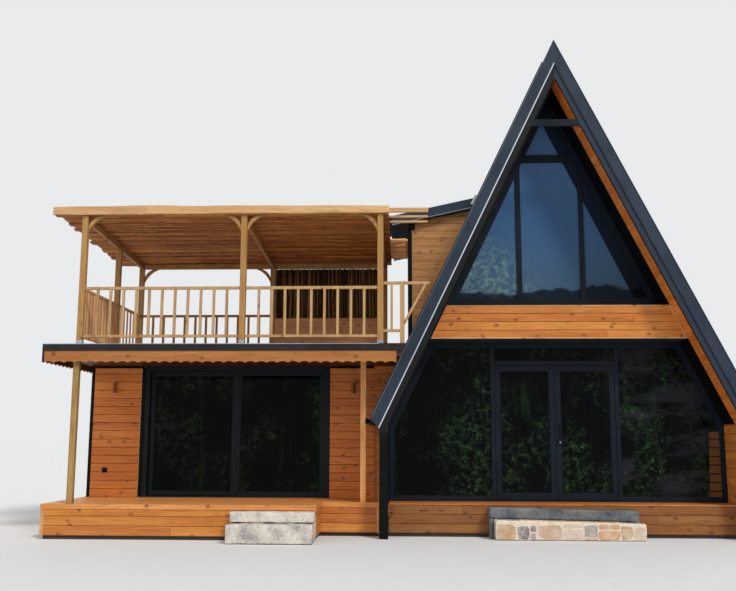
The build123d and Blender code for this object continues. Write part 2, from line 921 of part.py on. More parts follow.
# Dark metal edge on the terrace: an upright face and a flange on the slab
edge_top = terrace_top + edge_lift
face_y = at(deck_front)
rear_face = at(wing_back + terrace_over)
with BuildPart() as terrace_edge:
    prism(against_roof(terrace_left + edge_sheet, fascia_top, edge_top), (face_y - edge_sheet, face_y))
    prism(against_roof(terrace_left, terrace_top, edge_top), (face_y, face_y + edge_flange))
    prism(against_roof(terrace_left, fascia_top, terrace_top), (face_y, face_y + board))
    block(
        (-terrace_left - edge_sheet, -terrace_left),
        (face_y - edge_sheet, rear_face + edge_sheet),
        (fascia_top, edge_top),
    )
    block(
        (-terrace_left, -terrace_left + board),
        (face_y, rear_face),
        (fascia_top, terrace_top),
    )
    block(
        (-terrace_left, -terrace_left + edge_flange),
        (face_y, rear_face),
        (terrace_top, edge_top),
    )
    prism(
        against_roof(terrace_left + edge_sheet, fascia_top, edge_top),
        (rear_face, rear_face + edge_sheet),
    )
    prism(against_roof(terrace_left, fascia_top, terrace_top), (rear_face - board, rear_face))
    prism(against_roof(terrace_left, terrace_top, edge_top), (rear_face - edge_flange, rear_face))

with BuildPart() as porch_posts:
    for x, depth in (
        (porch_post_left, porch_post_left_back),
        (porch_post_right, porch_post_right_back),
    ):
        block(
            (-x - porch_post / 2, -x + porch_post / 2),
            (at(depth - porch_post / 2), at(depth + porch_post / 2)),
            (floor_top, terrace_low),
        )


# Pergola: posts under a reed roof that falls to the back
def sloped(x, y_depths, low, top_offset=0):
    """Add an upright piece whose top follows the underside of the pergola's roof."""
    near, far = y_depths
    side_prism(
        [
            (at(near), low(near)),
            (at(far), low(far)),
            (at(far), pergola_under(far) - top_offset),
            (at(near), pergola_under(near) - top_offset),
        ],
        x,
    )


def from_terrace(depth):
    """Foot of a post that stands on the terrace."""
    return terrace_top


def from_rafter(depth):
    """Underside of a rafter."""
    return pergola_under(depth) - rafter_high


with BuildPart() as pergola_posts:
    for x in (post_left, post_centre, post_right):
        for depth in (post_front, post_back):
            sloped(middle((-x, -x), post), middle((depth, depth), post), from_terrace)
    sloped(
        middle((-post_left, -post_left), post),
        middle((post_middle, post_middle), post),
        from_terrace,
        top_offset=rafter_high,
    )

rafter_run = (post_front + post / 2, post_back - post / 2)
with BuildPart() as pergola_rafters:
    for x in (post_left, post_centre, post_right):
        sloped(middle((-x, -x), rafter_wide), rafter_run, from_rafter)
    for left, right in ((post_left, post_centre), (post_centre, post_right)):
        sloped(
            (-left + post / 2, -right - post / 2),
            middle((post_back, post_back), rafter_wide),
            from_rafter,
        )

with BuildPart() as reed_roof:
    side_prism(
        [
            (at(reed_front), pergola_under(reed_front)),
            (at(reed_back), pergola_under(reed_back)),
            (at(reed_back), pergola_under(reed_back) + reed_thick),
            (at(reed_front), pergola_under(reed_front) + reed_thick),
        ],
        (-reed_left, -reed_right),
    )
    # A narrow strip carries on to the right, under the dormer's eave
    side_prism(
        [
            (at(reed_side_front), pergola_under(reed_side_front)),
            (at(reed_side_back), pergola_under(reed_side_back)),
            (at(reed_side_back), pergola_under(reed_side_back) + reed_thick),
            (at(reed_side_front), pergola_under(reed_side_front) + reed_thick),
        ],
        (-reed_right, -dormer_left - reed_side_gap),
    )

edge_y = (at(reed_front - edge_board), at(reed_front))
with BuildPart() as roof_edge_boards:
    block((-reed_left, -reed_right), edge_y, (roof_under_front, roof_under_front + edge_board_high))
    infill_low = roof_under_front + infill_lift
    block((-reed_right, -infill_right), edge_y, (infill_low, infill_low + infill_board_high))
    for index in (1, 2):
        depth = reed_front - edge_board + index * infill_pitch
        low = pergola_under(depth) + infill_lift
        block(
            (-reed_right, -infill_right),
            (at(depth), at(depth + infill_wide)),
            (low, low + infill_thick),
        )


# Curved braces between the posts and the roof
def brace(x, depth, side, top):
    """Add one curved brace on one side of a post."""
    start = x + side * post / 2
    end = start + side * brace_reach
    low = top - brace_reach
    bow = 0.12 * brace_reach
    half = brace_reach / 2
    with BuildSketch(
        Plane(origin=(0, at(depth) - brace_thick / 2, 0), x_dir=(1, 0, 0), z_dir=(0, -1, 0))
    ) as profile:
        with BuildLine():
            ThreePointArc(
                (start, low),
                (start + side * (half - bow), low + half + bow),
                (end, top),
            )
            Line((end, top), (end - side * brace_wide * 1.4, top))
            ThreePointArc(
                (end - side * brace_wide * 1.4, top),
                (start + side * (half - bow - brace_wide * 0.7), low + half + bow + brace_wide * 0.7),
                (start, low + brace_wide * 1.4),
            )
            Line((start, low + brace_wide * 1.4), (start, low))
        make_face()
    extrude(profile.sketch, amount=brace_thick, dir=(0, 1, 0))


with BuildPart() as pergola_braces:
    front_under = pergola_under(post_front + brace_thick / 2)
    brace(-post_left, post_front, 1, front_under)
    brace(-post_centre, post_front, -1, front_under)
    brace(-post_centre, post_front, 1, front_under)
    brace(-post_right, post_front, -1, front_under)
    beam_under = pergola_under(post_back + brace_thick / 2) - rafter_high
    brace(-post_left, post_back, 1, beam_under)
    brace(-post_centre, post_back, -1, beam_under)


# Railings: two rails with upright bars, or with close boards at the left end
def railing(start, end, depth, foot, top, count, width, cross="x"):
    """Add rails between two limits and evenly spaced uprights between the rails."""
    pitch = (end - start) / (count + 1)
    across = middle((at(depth), at(depth)), rail_wide) if cross == "x" else middle((depth, depth), rail_wide)
    for low, high in ((foot, foot + rail_foot_high), (top - rail_high, top)):
        if cross == "x":
            block((start, end), across, (low, high))
        else:
            block(across, (start, end), (low, high))
    thin = middle(across, baluster) if cross == "x" else middle(across, board)
    for index in range(count):
        place = start + (index + 1) * pitch
        run = (place - width / 2, place + width / 2)
        upright = (foot + rail_foot_high, top - rail_high)
        if cross == "x":
            block(run, thin, upright)
        else:
            block(thin, run, upright)


def count_between(start, end, pitch):
    """Number of uprights that fits between two posts."""
    return max(1, round((end - start) / pitch) - 1)


bay_left = (-post_left + post / 2, -post_centre - post / 2)
bay_right = (-post_centre + post / 2, -post_right - post / 2)
corner_bay = (-post_right + post / 2, -corner_post_x)
corner_top = rail_top + corner_rail_rise
with BuildPart() as railing_front:
    for bay in (bay_left, bay_right):
        number = count_between(*bay, baluster_pitch)
        railing(*bay, post_front, rail_foot_low, rail_top, number, baluster)
    railing(*corner_bay, post_front, corner_foot_low, corner_top, 1, baluster)
    post_x = (-corner_post_x, -corner_post_x + corner_post)
    post_y = middle((at(post_front), at(post_front)), corner_post)
    block(post_x, post_y, (terrace_top, corner_top))
    rail_end = -half_width(ridge_height, corner_top - rail_high) - 2 * rail_wide
    block(
        (post_x[1], rail_end),
        middle(post_y, rail_wide),
        (corner_top - rail_high, corner_top),
    )
    batten_top = (rail_end - rail_wide - baluster, corner_top - rail_high)
    batten_low = (post_x[1], batten_top[1] - (batten_top[0] - post_x[1]) / slope)
    prism(
        [
            batten_low,
            (batten_low[0], batten_low[1] + baluster / slope),
            batten_top,
            (batten_top[0] + baluster, batten_top[1]),
        ],
        middle(post_y, baluster),
    )

side_near = (at(post_front + post / 2), at(post_middle - post / 2))
side_far = (at(post_middle + post / 2), at(post_back - post / 2))
with BuildPart() as railing_side:
    railing(
        *side_near,
        -post_left,
        rail_foot_low,
        rail_top,
        count_between(*side_near, fence_pitch),
        fence_board,
        cross="y",
    )
    railing(
        *side_far,
        -post_left,
        rail_foot_low,
        rail_top,
        count_between(*side_far, baluster_pitch),
        baluster,
        cross="y",
    )

with BuildPart() as railing_rear:
    number = count_between(*bay_left, baluster_pitch)
    railing(*bay_left, post_back, rail_foot_low, rail_top, number, baluster)

# Low timber wall and reed screen between the two back posts at the right
screen_x = (-post_centre + post / 2, -post_right - post / 2)
with BuildPart() as low_wall:
    block(
        screen_x,
        middle((at(post_back), at(post_back)), low_wall_thick),
        (terrace_top, screen_low),
    )

with BuildPart() as reed_screen:
    block(
        screen_x,
        middle((at(post_back), at(post_back)), screen_thick),
        (screen_low, pergola_under(post_back + rafter_wide / 2) - rafter_high),
    )

# Stone steps
with BuildPart() as wing_steps:
    step_x = (-step_left, -step_left + step_wide)
    wall_y = at(deck_front)
    block(step_x, (wall_y - step_tread, wall_y), (0, step_upper_high))
    block(step_x, (wall_y - 2 * step_tread, wall_y - step_tread), (0, step_lower_high))

with BuildPart() as cabin_steps:
    wall_y = at(plinth_back)
    block(
        (-cabin_step_half - cabin_step_shift, cabin_step_half - cabin_step_shift),
        (wall_y - cabin_step_tread, wall_y),
        (0, cabin_step_upper_high),
    )
    block(
        (-cabin_step_half + cabin_step_shift, cabin_step_half + cabin_step_shift),
        (wall_y - 2 * cabin_step_tread, wall_y - cabin_step_tread),
        (0, cabin_step_lower_high),
    )

# Small wall lamps beside the sliding door
# Each is an upright tube with a collar at both ends, on an arm and a wall plate
lamp_top = lamp_low + lamp_high
lamp_middle = (lamp_low + lamp_top) / 2
lamp_y = at(wing_front - lamp_deep + lamp_collar / 2)
with BuildPart() as wall_lamps:
    for x in (-lamp_left, -lamp_right):
        cylinder_z(x, lamp_y, lamp_tube / 2, (lamp_low, lamp_top))
        cylinder_z(x, lamp_y, lamp_collar / 2, (lamp_low, lamp_low + lamp_collar_high))
        cylinder_z(x, lamp_y, lamp_collar / 2, (lamp_top - lamp_collar_high, lamp_top))
        block(
            middle((x, x), lamp_arm),
            (lamp_y, at(wing_front)),
            middle((lamp_middle, lamp_middle), lamp_arm),
        )
        block(
            middle((x, x), lamp_tube),
            (at(wing_front - lamp_plate), at(wing_front)),
            middle((lamp_middle, lamp_middle), lamp_plate_high),
        )

pieces = {
    "foundation": foundation,
    "cabin_floor": cabin_floor,
    "deck": deck,
    "plinth_cladding": plinth_cladding,
    "side_wall_right": side_wall_right,
    "side_wall_left": side_wall_left,
    "corner_posts": corner_posts,
    "roof_right": roof_right,
    "roof_left": roof_left,
    "rake_right": rake_right,
    "rake_left": rake_left,
    "soffit": soffit,
    "ridge_cap": ridge_cap,
    "collar_tie": collar_tie,
    "spandrel": spandrel,
    "loft_floor": loft_floor,
    "upper_window_frame": upper_window_frame,
    "front_frame_right": front_frame_right,
    "front_frame_left": front_frame_left,
    "door_head": door_head,
    "door_leaf_right": door_leaf_right,
    "door_leaf_left": door_leaf_left,
    "door_glass_right": door_glass_right,
    "door_glass_left": door_glass_left,
    "door_handle": door_handle,
    "rear_wall": rear_wall,
    "wing_front_wall": wing_front_wall,
    "wing_end_wall": wing_end_wall,
    "wing_rear_wall": wing_rear_wall,
    "dormer_end_walls": dormer_end_walls,
    "dormer_side_wall": dormer_side_wall,
    "dormer_roof": dormer_roof,
    "window_frames": window_frames,
    "window_glass": window_glass,
    "slider_frame": slider_frame,
    "slider_leaf": slider_leaf,
    "slider_glass": slider_glass,
    "fixed_glass": fixed_glass,
    "eave_gutters": eave_gutters,
    "terrace_slab": terrace_slab,
    "terrace_fascia": terrace_fascia,
    "terrace_edge": terrace_edge,
    "porch_posts": porch_posts,
    "pergola_posts": pergola_posts,
    "pergola_rafters": pergola_rafters,
    "reed_roof": reed_roof,
    "roof_edge_boards": roof_edge_boards,
    "pergola_braces": pergola_braces,
    "railing_front": railing_front,
    "railing_side": railing_side,
    "railing_rear": railing_rear,
    "low_wall": low_wall,
    "reed_screen": reed_screen,
    "wing_steps": wing_steps,
    "cabin_steps": cabin_steps,
    "wall_lamps": wall_lamps,
}
for name, piece in pieces.items():
    piece.part.label = name
    export_step(piece.part, f"parts/{name}.step")
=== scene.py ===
from functools import partialmethod
from math import cos, hypot, sin, tau
from random import Random

import bpy
from mathutils import Matrix, Vector, noise


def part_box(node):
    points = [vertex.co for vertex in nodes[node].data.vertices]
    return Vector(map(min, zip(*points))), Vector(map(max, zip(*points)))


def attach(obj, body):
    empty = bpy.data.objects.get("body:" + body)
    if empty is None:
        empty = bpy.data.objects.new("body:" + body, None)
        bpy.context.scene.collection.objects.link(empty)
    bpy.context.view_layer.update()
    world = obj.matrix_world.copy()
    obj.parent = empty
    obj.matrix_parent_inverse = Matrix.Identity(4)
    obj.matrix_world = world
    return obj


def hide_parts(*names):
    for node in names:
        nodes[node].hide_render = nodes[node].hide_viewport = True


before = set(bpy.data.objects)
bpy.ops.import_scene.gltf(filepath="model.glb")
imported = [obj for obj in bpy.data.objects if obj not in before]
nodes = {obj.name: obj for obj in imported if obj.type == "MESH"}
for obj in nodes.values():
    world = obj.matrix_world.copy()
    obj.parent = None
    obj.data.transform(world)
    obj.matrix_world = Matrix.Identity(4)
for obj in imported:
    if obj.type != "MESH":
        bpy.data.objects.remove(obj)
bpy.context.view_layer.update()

scene = bpy.context.scene

X, Y, Z = (1, 0, 0), (0, 1, 0), (0, 0, 1)


def placed(name, data):
    """A new object in the scene."""
    made = bpy.data.objects.new(name, data)
    scene.collection.objects.link(made)
    return made


# A-frame: half width of its roof for each metre below an apex, the apexes of roof and soffit, both faces and
# half the length of its low walls, and the planes of its plinth and of its glazing
SLOPE = 0.484
STEEP = hypot(1, SLOPE)
RIDGE = 7.8
SOFFIT_APEX = 7.1892
WALL_IN = 2.653
WALL_OUT = 2.788
WALL_END = 4.158
PLINTH_Y = -3.77
GLAZING_Y = -3.289

# Faces of the wing and of its porch
WING_X = -7.75
WING_Y = -2.65
WING_BACK = 1.0
PORCH_X = -3.705
PORCH_Y = -4.53

# Heights of boards: on the plinths, on the wing, and the start of those that stand on the floor
PLINTH_Z = (0.056, 0.474)
WING_Z = (0.502, 2.698)
FLOOR = 0.5
BOARD_FOOT = 0.502

# Dormer: its side, the height of its eave there, and how much its roof rises for each metre
DORMER_X = -2.3105
DORMER_EAVE = 5.177
DORMER_RISE = 0.218

# Standing seams of the A-frame's roof
SEAM_FIRST = -4.1
SEAM_PITCH = 0.5125

# Pergola roof: its front edge, the height of its underside there and how much it falls for each metre back
PERGOLA_Y = -4.41
PERGOLA_Z = 4.89
FALL = -0.16 / 3.12


# Node helpers
class Num:
    """The output of a shader node, to be used in plain sums and comparisons."""

    def __init__(self, socket):
        self.socket, self.tree = socket, socket.id_data

    def calc(self, operation, *others):
        return add(self.tree, "Math", dict(enumerate((self, *others))), operation=operation)[0]

    __add__ = partialmethod(calc, "ADD")
    __sub__ = partialmethod(calc, "SUBTRACT")
    __rsub__ = partialmethod(calc, "MULTIPLY_ADD", -1.0)
    __mul__ = partialmethod(calc, "MULTIPLY")
    __truediv__ = partialmethod(calc, "DIVIDE")
    __gt__ = partialmethod(calc, "GREATER_THAN")
    __lt__ = partialmethod(calc, "LESS_THAN")
    __abs__ = partialmethod(calc, "ABSOLUTE")


def fill(node, inputs):
    """Link each input of a node to an output, or set it to a plain value."""
    for key, value in dict(inputs).items():
        if isinstance(value, Num):
            value.tree.links.new(value.socket, node.inputs[key])
        else:
            node.inputs[key].default_value = value


def add(tree, kind, inputs=(), **settings):
    """Make a shader node and return its outputs."""
    made = tree.nodes.new("ShaderNode" + kind)
    for key, value in settings.items():
        setattr(made, key, value)
    fill(made, inputs)
    return [Num(output) for output in made.outputs]


def rgb(colour):
    """Linear colour of three display values from 0 to 255."""
    parts = (c / 255 for c in colour)
    return (*(c / 12.92 if c <= 0.04045 else ((c + 0.055) / 1.055) ** 2.4 for c in parts), 1.0)


def shade(colour, factor, plus=0.0):
    return (*(min(1.0, factor * c + plus) for c in rgb(colour)[:3]), 1.0)


def mix(share, first, second):
    """Blend two colours, each an output, a linear colour of four values or three display values."""
    first, second = (c if isinstance(c, Num) or len(c) == 4 else rgb(c) for c in (first, second))
    return add(share.tree, "Mix", {0: share, 6: first, 7: second}, data_type="RGBA")[2]


def over(colour, *layers):
    """A colour under layers, each given as where it lies, its strength and its own colour."""
    for where, strength, tint in layers:
        colour = mix(where * strength, colour, tint)
    return colour


def tinted(colour, value, hue=0.5):
    return add(colour.tree, "HueSaturation", {"Hue": hue, "Value": value, "Color": colour})[0]


def fade(value, low, high, out_low=0.0, out_high=1.0):
    limits = {"From Min": low, "From Max": high, "To Min": out_low, "To Max": out_high}
    return add(value.tree, "MapRange", {"Value": value, **limits}, interpolation_type="SMOOTHSTEP")[0]


def split(place):
    return add(place.tree, "SeparateXYZ", {"Vector": place})


def stretched(place, scale):
    return add(place.tree, "Mapping", {"Vector": place, "Scale": scale})[0]


def clouds(place, scale, detail=3.0, roughness=0.55):
    """Noise of one scale, or of three scales along the axes."""
    if isinstance(scale, tuple):
        place, scale = stretched(place, scale), 1.0
    inputs = {"Vector": place, "Scale": scale, "Detail": detail, "Roughness": roughness}
    return add(place.tree, "TexNoise", inputs)[0]


def own_tone(place):
    """The tone that Stock gives to each board or stone."""
    return add(place.tree, "Attribute", attribute_name="tone", attribute_type="GEOMETRY")[2]


def tone_of_row(row):
    return add(row.tree, "TexWhiteNoise", {"W": row.calc("FLOOR")}, noise_dimensions="1D")[0]


def from_middle(row):
    return abs(row.calc("FRACT") - 0.5)


def start(name):
    """A new material, its shader and the coordinates of the object that wears it."""
    mat = bpy.data.materials.new(name)
    mat.use_nodes = True
    tree = mat.node_tree
    tree.nodes.clear()
    shader = tree.nodes.new("ShaderNodeBsdfPrincipled")
    tree.links.new(shader.outputs[0], tree.nodes.new("ShaderNodeOutputMaterial").inputs["Surface"])
    return mat, shader, Num(tree.nodes.new("ShaderNodeTexCoord").outputs["Object"])


def dress(shader, colour, rough, specular, height, strength, distance):
    """Give a shader its colour, roughness, specular level and bump."""
    normal = add(height.tree, "Bump", {"Height": height, "Strength": strength, "Distance": distance})[0]
    fill(shader, {"Base Color": colour, "Roughness": rough, "Specular IOR Level": specular, "Normal": normal})


def along(place, axis):
    """Coordinates in metres with the grain first: of the map, or of the object along one axis.

    level is for upright walls: the grain is horizontal whichever way the wall faces.
    """
    if axis == "uv":
        return add(place.tree, "UVMap")[0]
    if axis == "x":
        return place
    x, y, z = split(place)
    if axis == "level":
        order = (x + y, z)
    else:
        order = {"y": (y, x, z), "z": (z, x, y), "side": (z, y, x)}[axis]
    return add(place.tree, "CombineXYZ", dict(enumerate(order)))[0]


# Materials
def wood(
    name, pale, mid, dark, knots=0.5, rough=0.5, tone=0.5, axis="uv", coat=0.0, pitch=None, first=0.0,
    joint=0.004, change=None,
):
    """Planed boards: streaks, growth rings, knots and a tone that differs from board to board.

    pitch, first and joint draw boards on a plain face. change alters the colour by place.
    """
    mat, shader, spot = start(name)
    place = along(spot, axis)
    across = split(place)[1]
    streak = clouds(place, (2.2, 70, 70), 4.0, 0.65)
    broad = clouds(place, (0.55, 6.5, 6.5), 2.5, 0.5)
    inputs = {"Vector": stretched(place, (4.4, 6.6, 6.6)), "Scale": 1.0, "Randomness": 1.0}
    kind = "2D" if axis in ("uv", "level") else "3D"
    away, cell = add(place.tree, "TexVoronoi", inputs, voronoi_dimensions=kind)[:2]
    chance = add(place.tree, "SeparateColor", {"Color": cell})
    there = chance[0] < knots
    away = streak * 0.12 + (away - 0.06)
    near = fade(away, 0.36, 0.04)
    halo = near * near * there
    core = fade(away, 0.12, 0.05) * there * fade(chance[1], 0.1, 0.9, 0.3, 1.0)
    ring = (across * 34.0 + broad * 9.0 + halo * 2.6).calc("FRACT").calc("POWER", 3.0)
    colour = over(
        mix(fade(broad, 0.25, 0.75), pale, mid), (ring, 0.5, dark), (fade(streak, 0.42, 0.72), 0.45, dark),
        (halo, 0.6, dark), (core, 0.8, shade(dark, 0.36)),
    )
    height = streak * -0.6 + ring * -0.5
    if pitch:
        row = (across - first) / pitch
        own = tone_of_row(row)
    elif axis == "uv":
        own = own_tone(place)
    else:
        own = clouds(place, (0.25, 2.0, 2.0), 1.0)
    hue = fade(own, 0.0, 1.0, 0.5 + 0.006 * tone, 0.5 - 0.005 * tone)
    colour = tinted(colour, fade(own, 1.0, 0.0, 1.0 - 0.16 * tone, 1.0 + 0.14 * tone), hue)
    if pitch:
        gap = fade(from_middle(row), 0.5 - joint / pitch, 0.5 - 0.4 * joint / pitch)
        colour = over(colour, (gap, 0.85, (0.012, 0.007, 0.004, 1.0)))
        height -= gap * 4.0
    if change:
        colour = change(spot, colour)
    fill(shader, {"Coat Weight": coat, "Coat Roughness": 0.3})
    dress(shader, colour, fade(streak, 0.3, 0.8, rough - 0.08, rough + 0.14), 0.28, height, 0.35, 0.0012)
    return mat


def painted(
    name, colour, rough=0.42, metallic=0.0, grain=0.5, dust=0.25, shine=0.22, cloud=0.72, change=None
):
    """Powder-coated metal: a fine orange-peel grain, faint blotches and a little dust."""
    mat, shader, place = start(name)
    fine = clouds(place, 420.0, 2.0)
    blotch = clouds(place, 2.3, 4.0)
    pale = shade(colour, 1.5, 0.012)
    made = over(
        mix(fade(blotch, 0.3, 0.7), shade(colour, cloud), colour),
        (fade(clouds(place, (9.0, 9.0, 0.8)), 0.5, 0.78), dust, pale),
        (fade(fine, 0.45, 0.75), 0.25 * grain, pale),
    )
    if change:
        made = change(place, made)
    fill(shader, {"Metallic": metallic})
    rough = fade(blotch, 0.25, 0.8, rough - 0.07, rough + 0.1)
    dress(shader, made, rough, 0.5 if metallic else shine, fine, 0.12 * grain, 0.0006)
    return mat


def rake_bands(place, colour):
    """The inner board of each rake is dark navy. The left rake carries painted light: its inner board is near
    black as painted shade, and its inner lip and the parts standing proud of its face are painted highlights.
    """
    x, y, z = split(place)
    left = x < 0.0
    down = (RIDGE - z - abs(x) / SLOPE) * (SLOPE / STEEP)
    inner = down > 0.1803
    lip_glint = (clouds(place, 2.0) * 0.006 + down > 0.165) * (1.0 - inner) * (abs(y) > 4.1995)
    # Painted highlights and painted shade on the left rake only: pale grey proud parts, near-black inner
    # board, bright inner lip
    return over(
        colour, ((abs(y) > 4.2012) * left, 0.6, (120, 122, 122)), (inner, 1.0, (36, 46, 60)),
        (inner * left, 1.0, (13, 14, 17)), (lip_glint * left, 1.0, (196, 202, 208)),
    )


def roof_trays(place, colour):
    """Each tray of a roof, between two seams, has a tone of its own, and rain leaves faint runs on it."""
    own = tone_of_row((split(place)[1] - SEAM_FIRST) / SEAM_PITCH)
    runs = clouds(place, (0.6, 26.0, 0.6))
    return tinted(colour, fade(own, 0.0, 1.0, 0.93, 1.03) + fade(runs, 0.45, 0.75, 0.0, 0.14))


def glass(name, deep, leaf, sky, low_sky_reflection, tree_reflection_colour):
    """Dark glazing whose colour holds painted reflections. Low panes carry painted reflections of shrubs,
    glints, a hazy shape and the porch's boards; panes above 3.4 m carry a painted sky over tree crowns and a
    hedge, and a painted dark band mirroring the soffit.
    """
    mat, shader, place = start(name)
    x, _, z = split(place)
    flat_place = stretched(place, (1.0, 0.4, 1.0))
    crowns = clouds(flat_place, 1.2, 3.0, 0.6)
    leaves = clouds(flat_place, 10.0, 6.0, 0.75)
    clump = fade(crowns, 0.42, 0.62) * fade(leaves, 0.44, 0.68)
    painted_glints = clump * fade(clouds(flat_place, 34.0, 4.0, 0.7), 0.5, 0.7)
    stems = fade(clouds(place, (7.0, 1.0, 0.7), 3.0, 0.6), 0.58, 0.74)
    haze_reflection = fade(clouds(place, (1.1, 1.0, 3.0), 5.0, 0.6), 0.44, 0.6) * fade(x, 0.7, 1.2)
    # Painted reflection of the boards of the porch's right wall, at the right edge of the low panes
    wall_reflection = (x > z * 0.04 + 2.352) * (z < 1.6)
    board = mix(fade(from_middle(z / 0.135), 0.4, 0.46), (118, 77, 45), (40, 25, 15))
    low = over(
        rgb(deep), (clump, 0.85, leaf), (painted_glints, 0.7, (96, 118, 84)), (stems, 0.35, leaf),
        (haze_reflection, 0.42, (54, 57, 63)), (wall_reflection, 0.7, board),
    )
    # Painted reflections in the high panes: tree crowns at the left, a dark hedge along the bottom, and the
    # dark soffit at the right
    tree_reflection = fade(x + z * 0.55, 2.3, 1.2) * fade(leaves, 0.42, 0.66) * fade(z, 5.1, 4.3)
    hedge_reflection = fade(leaves * 0.12 + (crowns * 0.5 + 3.58) - z, -0.02, 0.02)
    soffit = fade(z * 0.475 + x + crowns * 0.02, 3.115, 3.135)
    # Painted light: the sky reflection is lightened towards the top, where the overhang shades the glass
    high = over(
        mix(fade(z, 5.2, 3.8), sky, low_sky_reflection), (fade(z, 4.9, 6.3), 0.8, (80, 118, 164)),
        (tree_reflection, 1.0, tree_reflection_colour), (hedge_reflection, 0.85, deep), (soffit, 0.9, (12, 14, 18)),
    )
    dress(shader, mix(fade(z, 3.2, 3.4), low, high), 0.05, 0.05, clouds(place, 1.7, 1.0), 0.05, 0.01)
    return mat


def stone(name, pale, mid, dark, scale=9.0, own_tones=(), own_part=0.8, relief=0.006):
    """Hewn stone: patches, coarse grain and speckle. own_tones gives each stone one of some colours."""
    mat, shader, place = start(name)
    patch = clouds(place, scale, 6.0, 0.62)
    chips = clouds(place, 34.0, 5.0, 0.7)
    speck = clouds(place, 150.0, 2.0, 0.6)
    part = 0.5 / max(1, len(own_tones))
    colour = over(
        mix(fade(patch, 0.3, 0.5), dark, mid),
        *(
            (own_tone(place).calc("COMPARE", (2 * k + 1) * part, part), own_part, tint)
            for k, tint in enumerate(own_tones)
        ),
        (fade(patch, 0.46, 0.66), 0.5, pale), (fade(chips, 0.52, 0.66), 0.5, dark),
        (fade(chips, 0.46, 0.34), 0.5, pale), (fade(speck, 0.58, 0.72), 0.4, dark),
    )
    dress(shader, colour, 0.85, 0.25, patch * 1.2 + chips * 1.3 + speck * 0.25, 0.8, relief)
    return mat


def reeds(name, pale, mid, dark):
    """Dry reed: each stem has its own tone, with a darker node now and then."""
    mat, shader, place = start(name)
    place = along(place, "uv")
    own = own_tone(place)
    streak = clouds(place, (4.0, 160.0, 1.0))
    knuckle = fade(from_middle(split(place)[0] * 4.3), 0.03, 0.015)
    colour = over(
        mix(fade(own, 0.15, 0.7), dark, mid), (fade(own, 0.6, 1.0), 1.0, pale),
        (fade(streak, 0.45, 0.7), 0.4, dark), (knuckle, 0.5, dark),
    )
    dress(shader, colour, 0.62, 0.2, streak, 0.3, 0.001)
    return mat


def plaster(name, colour, scale=60.0, strength=0.3):
    mat, shader, place = start(name)
    fine = clouds(place, scale, 5.0, 0.65)
    deep = shade(colour, 0.7)
    made = mix(fade(clouds(place, 1.4, 4.0), 0.3, 0.7), deep, colour)
    dress(shader, over(made, (fade(fine, 0.4, 0.7), 0.3, deep)), 0.9, 0.5, fine, strength, 0.003)
    return mat


def painted_sun_on_post(place, colour):
    """Painted light: the porch post beside the A-frame is brightened and made more orange, as if in sun where
    the A-frame shades it.
    """
    return mix(split(place)[0] > -4.0, colour, tinted(colour, 2.5, 0.482))


def fascia_inner_shade(place, colour):
    """Painted shade: the inner faces of the fascia are darkened."""
    low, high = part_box("terrace_fascia")
    x, y, _ = split(place)
    inside = (x > low[0] + 0.02) * (y > low[1] + 0.02) * (y < high[1] - 0.02)
    return over(colour, (inside, 0.85, (52, 30, 18)))


CLAD = wood("clad_pine", (212, 139, 66), (190, 111, 44), (134, 66, 24), 0.36, 0.42, 0.6, coat=0.06)
CLAD_WARM = wood("clad_pine_warm", (234, 145, 66), (214, 118, 46), (146, 68, 23), 0.36, 0.4, 0.45, coat=0.06)
# A darker copy of the cladding for the cabin's plinth: painted shade
CLAD_SHADED = wood("clad_pine_shaded", (152, 100, 53), (135, 81, 40), (91, 49, 22), 0.4, 0.5, 0.55)
CLAD_PALE = wood("clad_pine_pale", (196, 144, 88), (178, 124, 72), (128, 80, 42), 0.3, 0.5, 0.35)
LINING = wood("lining_pine", (206, 138, 74), (190, 118, 56), (136, 74, 32), 0.4, axis="level", pitch=0.12)
FLOORING = wood(
    "floor_boards", (206, 132, 66), (188, 110, 50), (126, 64, 24), 0.4, 0.42, axis="x", pitch=0.14
)
NOSING = wood("deck_boards", (222, 152, 88), (206, 130, 66), (150, 80, 34), 0.4, tone=0.6)
TIMBER_TONES = ((185, 143, 85), (164, 119, 65), (110, 73, 37))
TIMBER_X = wood("timber_x", *TIMBER_TONES, 0.4, 0.6, axis="x")
TIMBER_Y = wood("timber_y", *TIMBER_TONES, 0.4, 0.6, axis="y")
TIMBER_Z = wood("timber_z", *TIMBER_TONES, 0.45, 0.6, axis="z")
RAILING = wood("railing_timber", (195, 158, 110), (175, 134, 88), (120, 86, 52), 0.45, 0.6, axis="z")
# The post beside the A-frame carries painted sunlight
PORCH_POST = wood(
    "porch_post", (180, 144, 85), (160, 120, 65), (106, 74, 37), 0.45, 0.6, axis="z", change=painted_sun_on_post
)
TIMBER = wood("timber_rough", (218, 172, 118), (198, 146, 88), (130, 84, 42), 0.4, 0.66, 0.5)
SPLIT = wood("split_boards", (214, 173, 122), (194, 148, 96), (134, 94, 56), 0.0, 0.7, 0.4)
# Fence boards lighter than the other timber: painted sunlight on them
FENCE_LIT = wood(
    "fence_boards_lit", (240, 196, 140), (222, 170, 112), (158, 104, 58), 0.2, 0.6, 1.0, axis="side", pitch=0.14,
    first=-4.085, joint=0.016,
)
BARK = wood("slab_boards", (196, 128, 64), (162, 98, 46), (88, 50, 22), 0.3, 0.7, 1.5)
# Slats lighter than the reed: painted light standing in for light through them
SLAT_LIT = wood("reed_slats_lit", (250, 204, 146), (236, 176, 112), (176, 112, 62), 0.2, 0.7, 1.2)
RED_BOARD = wood("low_wall_boards", (222, 168, 120), (198, 142, 97), (126, 85, 52), 0.3, 0.5, 0.6)
